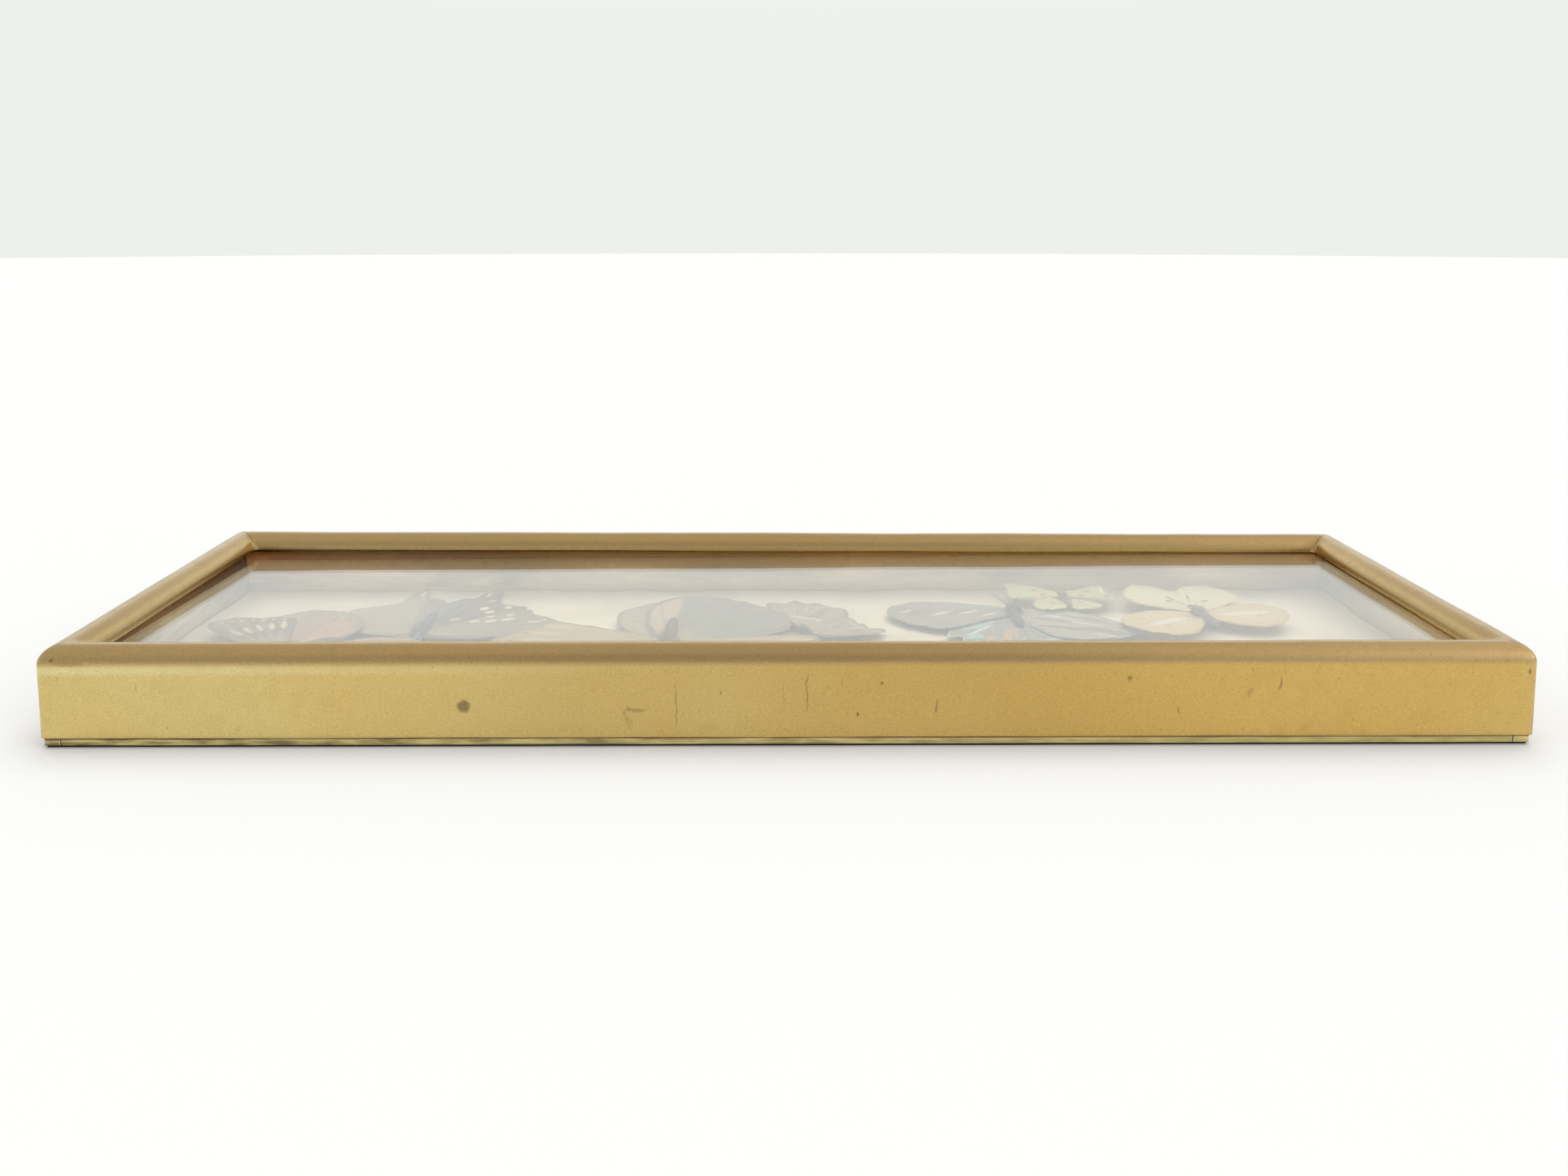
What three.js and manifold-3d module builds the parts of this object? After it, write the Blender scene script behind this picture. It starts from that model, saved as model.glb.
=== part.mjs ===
// A shallow gilt brass case, glazed on top, with dried butterflies on a pale board inside.
// Millimetres, +Z up. The origin is at the middle of the underside; the long side runs along X.
import * as THREE from "three";
import { mergeVertices } from "three/addons/utils/BufferGeometryUtils.js";
import Module from "manifold-3d";

const wasm = await Module();
wasm.setup();

// Cover rails: one rolled brass sheet with a flared face, a half-round bead and a lip
const FRAME_LENGTH = 381.6;
const FRAME_DEPTH = 124.3;
const RAIL_BOTTOM = 2.85;
const FACE_HEIGHT = 18.5;
const FACE_FLARE = 1.27;
const BEAD_RADIUS = 4.9;
const SHEET = 0.7;
const BEAD_SEGMENTS = 14;
const MITRE_GAP = 0.1;
// The cover is twisted: its back left corner stands this much higher than the other three.
const CORNER_LIFT = 1.75;

// Tray and glazing
const BACKING_THICKNESS = 0.5;
const BACKING_INSET = 1.2;
const GLASS_THICKNESS = 2;
const GLASS_INSET = 2.6;
const LIP_CLEARANCE = 0.35;
const GLASS_TOP = RAIL_BOTTOM + FACE_HEIGHT - LIP_CLEARANCE;
const WALL_TOP = GLASS_TOP - GLASS_THICKNESS;
const WALL_FOOT_INSET = 0.7;
const WALL_TOP_INSET = 2.3;
const WALL_INNER = 4.9;
const BUTT_GAP = 0.1;
const BOARD_TOP = 4.75;
const BOARD_GAP = 0.3;

// Specimens
const WING_THICKNESS = 0.45;
const HIND_DROP = 0.35;
const WING_DIVISIONS = 2;
const ROOT_SPACING = 1.6;
const BODY_SIDES = 8;
const FEELER_WIDTH = 0.5;
const LEG_WIDTH = 0.55;
const LEG_PAIRS = 3;
const LEG_SPACING = 1.9;
const LEG_SPLAY = 2.4;
const FOOT_GAP = 0.05;
// Height of the wing roots above the board, for specimens that lie under or over a neighbour.
const LOW = 2.5;
const HIGH = 4.5;

// Wing outlines as shares of the wing's length: u along the span, v towards the head.
const LONG_FORE = [
  [0, 0.04], [0.3, 0.08], [0.65, 0.09], [0.92, 0.05], [1, -0.05], [0.95, -0.17],
  [0.8, -0.28], [0.66, -0.4], [0.58, -0.44], [0.33, -0.28], [0, -0.08],
];
const BROAD_FORE = [
  [0, 0.04], [0.35, 0.14], [0.72, 0.16], [0.96, 0.07], [1, -0.05], [0.92, -0.2],
  [0.82, -0.32], [0.74, -0.42], [0.66, -0.44], [0.36, -0.28], [0, -0.09],
];
const ROUND_FORE = [
  [0, 0.05], [0.3, 0.2], [0.62, 0.24], [0.9, 0.14], [1, -0.02], [0.93, -0.2],
  [0.76, -0.36], [0.55, -0.42], [0.28, -0.28], [0, -0.09],
];
const ANGLED_FORE = [
  [0, 0.05], [0.35, 0.18], [0.75, 0.2], [0.98, 0.1], [1, -0.04], [0.86, -0.1],
  [0.84, -0.24], [0.76, -0.3], [0.74, -0.46], [0.6, -0.52], [0.3, -0.32], [0, -0.1],
];
const HOOKED_FORE = [
  [0, 0.05], [0.3, 0.2], [0.65, 0.25], [0.92, 0.2], [1.03, 0.1], [0.94, -0.04],
  [0.86, -0.22], [0.76, -0.42], [0.62, -0.5], [0.3, -0.32], [0, -0.1],
];
const ROUND_HIND = [
  [0, 0.07], [0.3, 0.3], [0.62, 0.36], [0.9, 0.22], [1, -0.04], [0.92, -0.3],
  [0.7, -0.48], [0.42, -0.46], [0.15, -0.26], [0, -0.08],
];
const TAILED_HIND = [
  [0, 0.07], [0.26, 0.36], [0.6, 0.44], [0.84, 0.3], [0.92, 0.12], [0.88, -0.06], [0.94, -0.2],
  [1.12, -0.34], [1.14, -0.42], [1.04, -0.44], [0.84, -0.36], [0.72, -0.44], [0.4, -0.38], [0.12, -0.22],
  [0, -0.08],
];
const BROAD_HIND = [
  [0, 0.08], [0.26, 0.4], [0.6, 0.56], [0.86, 0.42], [0.98, 0.16], [1, -0.1], [0.94, -0.34],
  [0.78, -0.52], [0.5, -0.5], [0.2, -0.3], [0, -0.09],
];
const SCALLOPED_HIND = [
  [0, 0.08], [0.28, 0.34], [0.58, 0.44], [0.8, 0.4], [0.82, 0.26], [0.95, 0.16], [0.92, 0.04], [1.04, -0.08],
  [0.96, -0.2], [0.98, -0.34], [0.82, -0.38], [0.74, -0.5], [0.44, -0.46], [0.16, -0.28], [0, -0.08],
];
const FRINGED_HIND = [
  [0, 0.08], [0.3, 0.34], [0.66, 0.4], [0.84, 0.24], [0.98, 0.16], [0.9, 0.04], [1.06, -0.08], [0.92, -0.16],
  [1.02, -0.3], [0.8, -0.32], [0.74, -0.46], [0.44, -0.44], [0.16, -0.28], [0, -0.08],
];

// Each specimen: thorax place, heading in degrees, and wing angles from the head, right then left.
const SPECIMENS = [
  {
    name: "tiger_butterfly",
    colour: "#a8632a",
    thorax: [-145, -18],
    heading: 215,
    height: HIGH,
    rise: 0,
    body: { length: 26, radius: 2 },
    feeler: 15,
    fore: { outline: LONG_FORE, length: 43, angles: [77, 96] },
    hind: { outline: ROUND_HIND, length: 40, angles: [109, 132] },
  },
  {
    name: "spotted_swallowtail",
    colour: "#6f6a4a",
    thorax: [-112, 4],
    heading: 271,
    height: LOW,
    rise: 0,
    body: { length: 29, radius: 2.1 },
    feeler: 16,
    fore: { outline: BROAD_FORE, length: 44, angles: [19, 100] },
    hind: { outline: TAILED_HIND, length: 41, angles: [146, 143] },
  },
  {
    name: "owl_butterfly",
    colour: "#8a7a4c",
    thorax: [-35, -12],
    heading: 270,
    height: HIGH,
    rise: 1,
    body: { length: 34, radius: 2.4 },
    feeler: 20,
    fore: { outline: BROAD_FORE, length: 52, angles: [88, 68] },
    hind: { outline: BROAD_HIND, length: 45, angles: [193, 152] },
  },
  {
    name: "scalloped_butterfly",
    colour: "#6a5048",
    thorax: [5, 4],
    heading: 300,
    height: LOW,
    rise: 0,
    body: { length: 19, radius: 1.6 },
    feeler: 12,
    fore: { outline: ANGLED_FORE, length: 25, angles: [75, 74] },
    hind: { outline: SCALLOPED_HIND, length: 34, angles: [130, 148] },
  },
  {
    name: "sunset_moth",
    colour: "#3d5a58",
    thorax: [73, 24],
    heading: 88,
    height: LOW,
    rise: 0,
    body: { length: 23, radius: 2 },
    feeler: 12,
    fore: { outline: ROUND_FORE, length: 41, angles: [121, 92] },
    hind: { outline: FRINGED_HIND, length: 31, angles: [156, 140] },
  },
  {
    name: "green_butterfly",
    colour: "#b4bd7a",
    thorax: [91, 34],
    heading: 92,
    height: HIGH,
    rise: 1,
    body: { length: 14, radius: 1.3 },
    feeler: 8,
    fore: { outline: HOOKED_FORE, length: 20, angles: [74, 60] },
    hind: { outline: ROUND_HIND, length: 13, angles: [126, 124] },
  },
  {
    name: "yellow_butterfly",
    colour: "#d8c078",
    thorax: [130, 17],
    heading: 98,
    height: HIGH,
    rise: 1,
    body: { length: 20, radius: 1.6 },
    feeler: 10,
    fore: { outline: ROUND_FORE, length: 30, angles: [28, 14] },
    hind: { outline: ROUND_HIND, length: 28, angles: [85, 102] },
  },
];

const BRASS = { color: "#c2a561", roughness: 0.42, metalness: 1 };
const DARK_CARD = { color: "#2a2622", roughness: 0.9, metalness: 0 };
const IVORY_CARD = { color: "#e6dcc4", roughness: 0.85, metalness: 0 };
const CLEAR_GLASS = { color: "#f4f7f4", roughness: 0.05, metalness: 0, transparent: true, opacity: 0.35 };

const frame = new THREE.Group();

function addPiece(name, geometry, finish) {
  const piece = new THREE.Mesh(geometry, new THREE.MeshStandardMaterial(finish));
  piece.name = name;
  frame.add(piece);
  return piece;
}

// Moves every vertex of a geometry through a function of its place.
function reshape(geometry, move) {
  const position = geometry.getAttribute("position");
  const place = new THREE.Vector3();
  for (let i = 0; i < position.count; i += 1) {
    move(place.fromBufferAttribute(position, i));
    position.setXYZ(i, place.x, place.y, place.z);
  }
  return geometry;
}

// Runs a section (x inwards, y up) along one side of the case; both ends are drawn in by endInset.
function sideBar(section, sideLength, acrossLength, endInset, turn) {
  const bar = new THREE.ExtrudeGeometry(section, {
    depth: 1,
    steps: 1,
    bevelEnabled: false,
    curveSegments: BEAD_SEGMENTS,
  });
  reshape(bar, (place) => {
    const reach = sideLength / 2 - endInset(place.x, place.y);
    const along = THREE.MathUtils.lerp(-reach, reach, place.z);
    place.set(along, place.x - acrossLength / 2, place.y);
  });
  return bar.rotateZ(turn);
}

// The four sides in turn: name, length along the side, length across it, and turn about Z.
const SIDES = [
  { name: "front", along: FRAME_LENGTH, across: FRAME_DEPTH, turn: 0 },
  { name: "right", along: FRAME_DEPTH, across: FRAME_LENGTH, turn: Math.PI / 2 },
  { name: "back", along: FRAME_LENGTH, across: FRAME_DEPTH, turn: Math.PI },
  { name: "left", along: FRAME_DEPTH, across: FRAME_LENGTH, turn: -Math.PI / 2 },
];

// Cover rails
function railSection() {
  const section = new THREE.Shape();
  const beadCentre = FACE_FLARE + BEAD_RADIUS;
  const innerRadius = BEAD_RADIUS - SHEET;
  section.moveTo(0, RAIL_BOTTOM);
  section.lineTo(FACE_FLARE, RAIL_BOTTOM + FACE_HEIGHT);
  section.absarc(beadCentre, RAIL_BOTTOM + FACE_HEIGHT, BEAD_RADIUS, Math.PI, 0, true);
  section.absarc(beadCentre, RAIL_BOTTOM + FACE_HEIGHT, innerRadius, 0, Math.PI, false);
  section.lineTo(SHEET, RAIL_BOTTOM);
  return section;
}

function liftCorner(place) {
  const leftwards = 0.5 - place.x / FRAME_LENGTH;
  const backwards = 0.5 + place.y / FRAME_DEPTH;
  place.z += CORNER_LIFT * leftwards * backwards;
}

for (const side of SIDES) {
  const mitre = (inset) => inset + MITRE_GAP;
  const rail = sideBar(railSection(), side.along, side.across, mitre, side.turn);
  addPiece(`rail_${side.name}`, reshape(rail, liftCorner), BRASS);
}

// Tray walls: the side walls run the whole depth, the front and back walls butt between them
function wallOuterInset(height) {
  const rise = (height - BACKING_THICKNESS) / (WALL_TOP - BACKING_THICKNESS);
  return THREE.MathUtils.lerp(WALL_FOOT_INSET, WALL_TOP_INSET, rise);
}

function wallSection() {
  return new THREE.Shape([
    new THREE.Vector2(WALL_FOOT_INSET, BACKING_THICKNESS),
    new THREE.Vector2(WALL_INNER, BACKING_THICKNESS),
    new THREE.Vector2(WALL_INNER, WALL_TOP),
    new THREE.Vector2(WALL_TOP_INSET, WALL_TOP),
  ]);
}

for (const side of SIDES) {
  const wholeDepth = (inset, height) => wallOuterInset(height);
  const butted = () => WALL_INNER + BUTT_GAP;
  const ends = side.along === FRAME_DEPTH ? wholeDepth : butted;
  const wall = sideBar(wallSection(), side.along, side.across, ends, side.turn);
  addPiece(`tray_wall_${side.name}`, wall, BRASS);
}

// Flat sheets: glass, board and backing
function flatSheet(inset, bottom, top) {
  const sheet = new THREE.BoxGeometry(FRAME_LENGTH - 2 * inset, FRAME_DEPTH - 2 * inset, top - bottom);
  return sheet.translate(0, 0, (bottom + top) / 2);
}

addPiece("glass_pane", flatSheet(GLASS_INSET, WALL_TOP, GLASS_TOP), CLEAR_GLASS);
addPiece("specimen_board", flatSheet(WALL_INNER + BOARD_GAP, BACKING_THICKNESS, BOARD_TOP), IVORY_CARD);
addPiece("backing_sheet", flatSheet(BACKING_INSET, 0, BACKING_THICKNESS), DARK_CARD);

// Joins closed geometries into one solid.
function asSolid(geometry) {
  const bare = new THREE.BufferGeometry();
  bare.setAttribute("position", geometry.getAttribute("position").clone());
  bare.setIndex(geometry.index);
  const merged = mergeVertices(bare, 1e-4);
  const corners = merged.index.array;
  const triVerts = [];
  for (let i = 0; i < corners.length; i += 3) {
    const [a, b, c] = corners.slice(i, i + 3);
    if (a !== b && b !== c && c !== a) {
      triVerts.push(a, b, c);
    }
  }
  return new wasm.Manifold(
    new wasm.Mesh({
      numProp: 3,
      vertProperties: merged.getAttribute("position").array,
      triVerts: new Uint32Array(triVerts),
    }),
  );
}

function fuse(geometries) {
  const mesh = geometries
    .map(asSolid)
    .reduce((whole, next) => whole.add(next))
    .getMesh();
  const fused = new THREE.BufferGeometry();
  fused.setAttribute("position", new THREE.BufferAttribute(mesh.vertProperties, 3));
  fused.setIndex(new THREE.BufferAttribute(mesh.triVerts, 1));
  fused.computeVertexNormals();
  return fused;
}

// A specimen in its own frame: +X towards the head, +Y to its left, Z = 0 at the wing roots.
function wingPlate({ outline, length }, side, angle, rootX, rootZ, rise) {
  const points = outline.map(([u, v]) => new THREE.Vector2(u * length, -side * v * length));
  const shape = new THREE.Shape();
  shape.moveTo(points[0].x, points[0].y);
  shape.splineThru(points.slice(1));
  const plate = new THREE.ExtrudeGeometry(shape, {
    depth: WING_THICKNESS,
    bevelEnabled: false,
    curveSegments: WING_DIVISIONS,
  });
  plate.translate(0, 0, -WING_THICKNESS / 2);
  plate.rotateY(-THREE.MathUtils.degToRad(rise));
  plate.rotateZ(side * THREE.MathUtils.degToRad(angle));
  return plate.translate(rootX, 0, rootZ);
}

// Abdomen, waist, thorax, neck and head as one turned form with the thorax at the origin.
function bodyForm({ length, radius }) {
  const thoraxShare = 0.66;
  const profile = [
    [0, 0], [0.5, 0.03], [0.8, 0.18], [0.82, 0.38], [0.6, 0.5], [1, 0.6],
    [0.96, 0.74], [0.5, 0.83], [0.64, 0.91], [0.42, 0.98], [0, 1],
  ];
  const points = profile.map(([r, t]) => new THREE.Vector2(r * radius, (t - thoraxShare) * length));
  return new THREE.LatheGeometry(points, BODY_SIDES).rotateZ(-Math.PI / 2);
}

// A thin square rod along a smooth path.
function rod(width, steps, path) {
  const half = width / 2;
  const section = new THREE.Shape([
    new THREE.Vector2(-half, -half),
    new THREE.Vector2(half, -half),
    new THREE.Vector2(half, half),
    new THREE.Vector2(-half, half),
  ]);
  return new THREE.ExtrudeGeometry(section, {
    steps,
    bevelEnabled: false,
    extrudePath: new THREE.CatmullRomCurve3(path),
  });
}

function feelers({ length, radius }, reach) {
  const headX = 0.28 * length;
  return [-1, 1].flatMap((side) => {
    const tip = new THREE.Vector3(headX + reach, side * reach * 0.36, 0.5);
    const stem = rod(FEELER_WIDTH, 4, [
      new THREE.Vector3(headX - 0.5, side * radius * 0.2, 0.1),
      new THREE.Vector3(headX + reach * 0.5, side * reach * 0.22, 0.5),
      tip,
    ]);
    const club = new THREE.SphereGeometry(FEELER_WIDTH, 6, 4).scale(2, 1, 1);
    club.translate(tip.x, tip.y, tip.z);
    return [stem, club];
  });
}

function legs({ radius }, footZ) {
  const middle = (LEG_PAIRS - 1) / 2;
  return Array.from({ length: LEG_PAIRS }, (_, pair) => (pair - middle) * LEG_SPACING).flatMap((x) =>
    [-1, 1].map((side) =>
      rod(LEG_WIDTH, 3, [
        new THREE.Vector3(x * 0.5, side * radius * 0.3, -radius * 0.4),
        new THREE.Vector3(x, side * (radius + LEG_SPLAY * 0.5), -radius * 0.7),
        new THREE.Vector3(x * 1.8, side * (radius + LEG_SPLAY), footZ),
      ]),
    ),
  );
}

function specimen({ name, colour, thorax, heading, height, rise, body, feeler, fore, hind }) {
  const footZ = LEG_WIDTH + FOOT_GAP - height;
  const wings = [-1, 1].flatMap((side, i) => [
    wingPlate(fore, side, fore.angles[i], ROOT_SPACING, 0, rise),
    wingPlate(hind, side, hind.angles[i], -ROOT_SPACING, -HIND_DROP, rise),
  ]);
  const whole = fuse([bodyForm(body), ...wings, ...feelers(body, feeler), ...legs(body, footZ)]);
  const piece = addPiece(name, whole, { color: colour, roughness: 0.8, metalness: 0 });
  piece.rotation.z = THREE.MathUtils.degToRad(heading);
  piece.position.set(thorax[0], thorax[1], BOARD_TOP + height);
}

SPECIMENS.forEach(specimen);

export default frame;
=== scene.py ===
"""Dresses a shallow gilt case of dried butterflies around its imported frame.

Lengths are in metres, unless a name or docstring says millimetres (mm).
"""

import logging
import math
import random
from collections.abc import Iterator, Sequence
from contextlib import contextmanager
from dataclasses import dataclass, field
from enum import Enum
from functools import partial
from typing import Any

import bpy
import numpy as np
from mathutils import Euler, Matrix, Vector


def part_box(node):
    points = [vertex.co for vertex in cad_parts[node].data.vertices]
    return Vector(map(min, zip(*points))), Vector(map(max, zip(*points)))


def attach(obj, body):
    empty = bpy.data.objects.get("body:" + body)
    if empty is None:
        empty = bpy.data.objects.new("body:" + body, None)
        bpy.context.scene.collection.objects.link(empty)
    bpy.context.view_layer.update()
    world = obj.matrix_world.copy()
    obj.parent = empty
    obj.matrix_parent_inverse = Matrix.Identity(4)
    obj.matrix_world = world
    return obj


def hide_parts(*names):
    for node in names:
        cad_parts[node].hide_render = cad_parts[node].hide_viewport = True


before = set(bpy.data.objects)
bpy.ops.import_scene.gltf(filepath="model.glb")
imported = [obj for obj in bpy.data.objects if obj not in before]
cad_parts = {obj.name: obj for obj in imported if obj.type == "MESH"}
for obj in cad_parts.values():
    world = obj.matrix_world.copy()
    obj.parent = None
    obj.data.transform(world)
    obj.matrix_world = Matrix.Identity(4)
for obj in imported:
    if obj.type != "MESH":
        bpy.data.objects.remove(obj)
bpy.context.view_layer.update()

LOG = logging.getLogger("butterfly_case")
MM = 0.001
ROOT = "root"

# The case's own sizes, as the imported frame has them
CASE_LENGTH = 381.6 * MM
CASE_DEPTH = 124.3 * MM
BOARD_TOP = 4.75 * MM

Point = tuple[float, float]
Way = tuple[float, float, float]
Ellipse = tuple[float, float, float, float, float]


def linear(colour: str) -> tuple[float, float, float, float]:
    """Turns an sRGB hex colour into the linear values that a shader takes.

    Args:
        colour: the colour as #rrggbb.

    Returns:
        Linear red, green, blue and a full alpha.
    """
    channels = [int(colour[i : i + 2], 16) / 255 for i in (1, 3, 5)]
    red, green, blue = (c / 12.92 if c <= 0.04045 else ((c + 0.055) / 1.055) ** 2.4 for c in channels)
    return red, green, blue, 1.0


def feed(tree: bpy.types.NodeTree, node: bpy.types.Node, inputs: dict) -> None:
    """Links or sets a node's inputs.

    Args:
        tree: the tree that holds the node.
        node: the node to feed.
        inputs: a socket to link or a value to set, by the input's name or number.
    """
    for key, value in inputs.items():
        if isinstance(value, bpy.types.NodeSocket):
            tree.links.new(value, node.inputs[key])
        else:
            node.inputs[key].default_value = value


def add_node(tree: bpy.types.NodeTree, kind: str, inputs: dict | None = None, **settings: Any) -> Any:
    """Adds a node with its settings and links.

    Args:
        tree: the tree that gets the node.
        kind: the node's type, without the word ShaderNode.
        inputs: a socket to link or a value to set, by the input's name or number.
        settings: the node's own properties.

    Returns:
        The node's outputs.
    """
    node = tree.nodes.new("ShaderNode" + kind)
    for name, value in settings.items():
        setattr(node, name, value)
    feed(tree, node, inputs or {})
    return node.outputs


def pick_only(*pieces: bpy.types.Object) -> None:
    """Selects these objects alone and makes the first one active."""
    bpy.ops.object.select_all(action="DESELECT")
    for piece in pieces:
        piece.select_set(True)
    bpy.context.view_layer.objects.active = pieces[0]


@contextmanager
def editing(piece: bpy.types.Object) -> Iterator[None]:
    """Opens a piece in edit mode with all of it selected, and closes it again."""
    pick_only(piece)
    bpy.ops.object.mode_set(mode="EDIT")
    bpy.ops.mesh.select_all(action="SELECT")
    try:
        yield
    finally:
        bpy.ops.object.mode_set(mode="OBJECT")


def started(primitive: Any, **size: Any) -> bpy.types.Object:
    """Adds a primitive to shape, with nothing else selected.

    Args:
        primitive: the operator that adds it.
        size: the operator's own settings.

    Returns:
        The new object.
    """
    bpy.ops.object.select_all(action="DESELECT")
    primitive(**size)
    piece = bpy.context.object
    bpy.ops.object.transform_apply(location=True, rotation=True, scale=True)
    return piece


def settle(piece: bpy.types.Object) -> None:
    """Applies every modifier that a piece carries."""
    pick_only(piece)
    for modifier in list(piece.modifiers):
        bpy.ops.object.modifier_apply(modifier=modifier.name)


def places(piece: bpy.types.Object) -> np.ndarray:
    """Gives the vertices of a piece, one row each."""
    flat = np.empty(len(piece.data.vertices) * 3)
    piece.data.vertices.foreach_get("co", flat)
    return flat.reshape(-1, 3)


def move_to(piece: bpy.types.Object, points: np.ndarray) -> None:
    """Puts the vertices of a piece at these points."""
    piece.data.vertices.foreach_set("co", points.ravel())
    piece.data.update()


def smooth_line(points: Sequence[Sequence[float]], steps: int) -> np.ndarray:
    """Draws a smooth line through points.

    Args:
        points: the points to pass through.
        steps: pieces between two neighbouring points.

    Returns:
        The points along the line.
    """
    knots = np.asarray(points, float)
    last = len(knots) - 1
    share = (np.arange(steps) / steps)[:, None]
    line = []
    for i in range(last):
        before, start, end, after = (knots[max(i - 1, 0)], knots[i], knots[i + 1], knots[min(i + 2, last)])
        leave, arrive = (end - before) / 2, (after - start) / 2
        line.append(
            (2 * start - 2 * end + leave + arrive) * share**3
            + (3 * end - 3 * start - 2 * leave - arrive) * share**2
            + leave * share
            + start
        )
    return np.vstack([*line, knots[-1:]])


def dents(name: str, size_mm: float) -> bpy.types.Texture:
    """Makes a soft cloud texture for a Displace modifier.

    Args:
        name: the texture's name.
        size_mm: the width of one swelling in millimetres.

    Returns:
        The texture.
    """
    texture = bpy.data.textures.new(name, "CLOUDS")
    texture.noise_scale = size_mm * MM
    texture.noise_depth = 1
    return texture


def smooth_by_angle(piece: bpy.types.Object, degrees: float) -> None:
    """Shades a piece smoothly where its faces meet at less than this angle."""
    pick_only(piece)
    bpy.ops.object.shade_smooth_by_angle(angle=math.radians(degrees))


def fix_on(piece: bpy.types.Object, name: str, slot: str, *nodes: str) -> bpy.types.Object:
    """Names a finished piece, fixes it to the case and lets it stand for its frame nodes.

    Args:
        piece: the finished object.
        name: the piece's name.
        slot: not used.
        nodes: the frame nodes that it stands for.

    Returns:
        The piece.
    """
    piece.name = piece.data.name = name
    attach(piece, ROOT)
    if nodes:
        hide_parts(*nodes)
    LOG.info("%s: %d faces", name, len(piece.data.polygons))
    return piece


class Finish:
    """A procedural material that is made once and shared by its pieces."""

    name: str

    def material(self) -> bpy.types.Material:
        """Gives the finish's material, painting it at its first use."""
        material = bpy.data.materials.get(self.name)
        if material is None:
            material = bpy.data.materials.new(self.name)
            material.use_nodes = True
            self.paint(material.node_tree, material.node_tree.nodes["Principled BSDF"])
        return material

    def paint(self, tree: bpy.types.NodeTree, surface: bpy.types.Node) -> None:
        """Sets the shader's sockets and adds the nodes that feed it."""
        raise NotImplementedError


@dataclass(frozen=True)
class FrontPatch:
    """A mark on the front face, in mm from the middle of the case and up from the table."""

    across: float
    up: float
    width: float
    height: float
    strength: float


FRONT_STAINS_AND_SHADE = (
    # The first patch is painted shade: a broad, faint darkening over the middle of the front face, where it
    # mirrors the shaded table in front. The others are stains.
    FrontPatch(4.0, 13.0, 250.0, 70.0, 0.14),
    FrontPatch(-81.7, 12.0, 4.6, 4.4, 0.72),
    FrontPatch(-41.0, 10.2, 1.2, 2.2, 0.4),
    FrontPatch(-40.6, 8.6, 2.6, 2.6, 0.3),
    FrontPatch(-40.0, 7.2, 3.0, 4.0, 0.26),
    FrontPatch(-38.2, 11.0, 7.4, 1.6, 0.45),
    FrontPatch(-27.9, 12.3, 0.8, 19.0, 0.4),
    FrontPatch(-19.5, 6.3, 8.0, 3.0, 0.2),
    FrontPatch(-16.3, 15.2, 1.1, 1.4, 0.55),
    FrontPatch(-0.6, 15.3, 0.5, 12.0, 0.3),
    FrontPatch(5.2, 15.6, 0.7, 15.0, 0.5),
    FrontPatch(14.0, 17.8, 0.5, 3.0, 0.4),
    FrontPatch(17.9, 9.6, 1.2, 1.2, 0.7),
    FrontPatch(24.0, 17.8, 1.1, 1.1, 0.6),
    FrontPatch(38.2, 11.9, 0.9, 6.0, 0.5),
    FrontPatch(86.9, 19.0, 1.6, 2.2, 0.55),
    FrontPatch(99.8, 10.6, 0.8, 2.6, 0.45),
    FrontPatch(117.3, 15.3, 2.4, 3.2, 0.25),
    FrontPatch(125.0, 17.6, 0.9, 5.0, 0.5),
    FrontPatch(188.2, 20.4, 1.4, 2.6, 0.6),
    FrontPatch(-184.4, 24.0, 2.0, 1.8, 0.6),
    FrontPatch(-180.0, 23.1, 12.0, 1.6, 0.25),
)


def height_band(
    add: Any, up: bpy.types.NodeSocket, middle_mm: float, reach_mm: float
) -> bpy.types.NodeSocket:
    """Adds the nodes of a soft level band.

    Args:
        add: adds a node to the material.
        up: the height over the table.
        middle_mm: the height of the band's middle.
        reach_mm: how far above and below it the band fades out.

    Returns:
        The band's strength, 1 at its middle.
    """
    off = add("Math", {0: up, 1: middle_mm * MM}, operation="SUBTRACT")[0]
    off = add("Math", {0: off}, operation="ABSOLUTE")[0]
    return add("MapRange", {0: off, 1: reach_mm * MM, 2: 0.2 * reach_mm * MM})[0]


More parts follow.
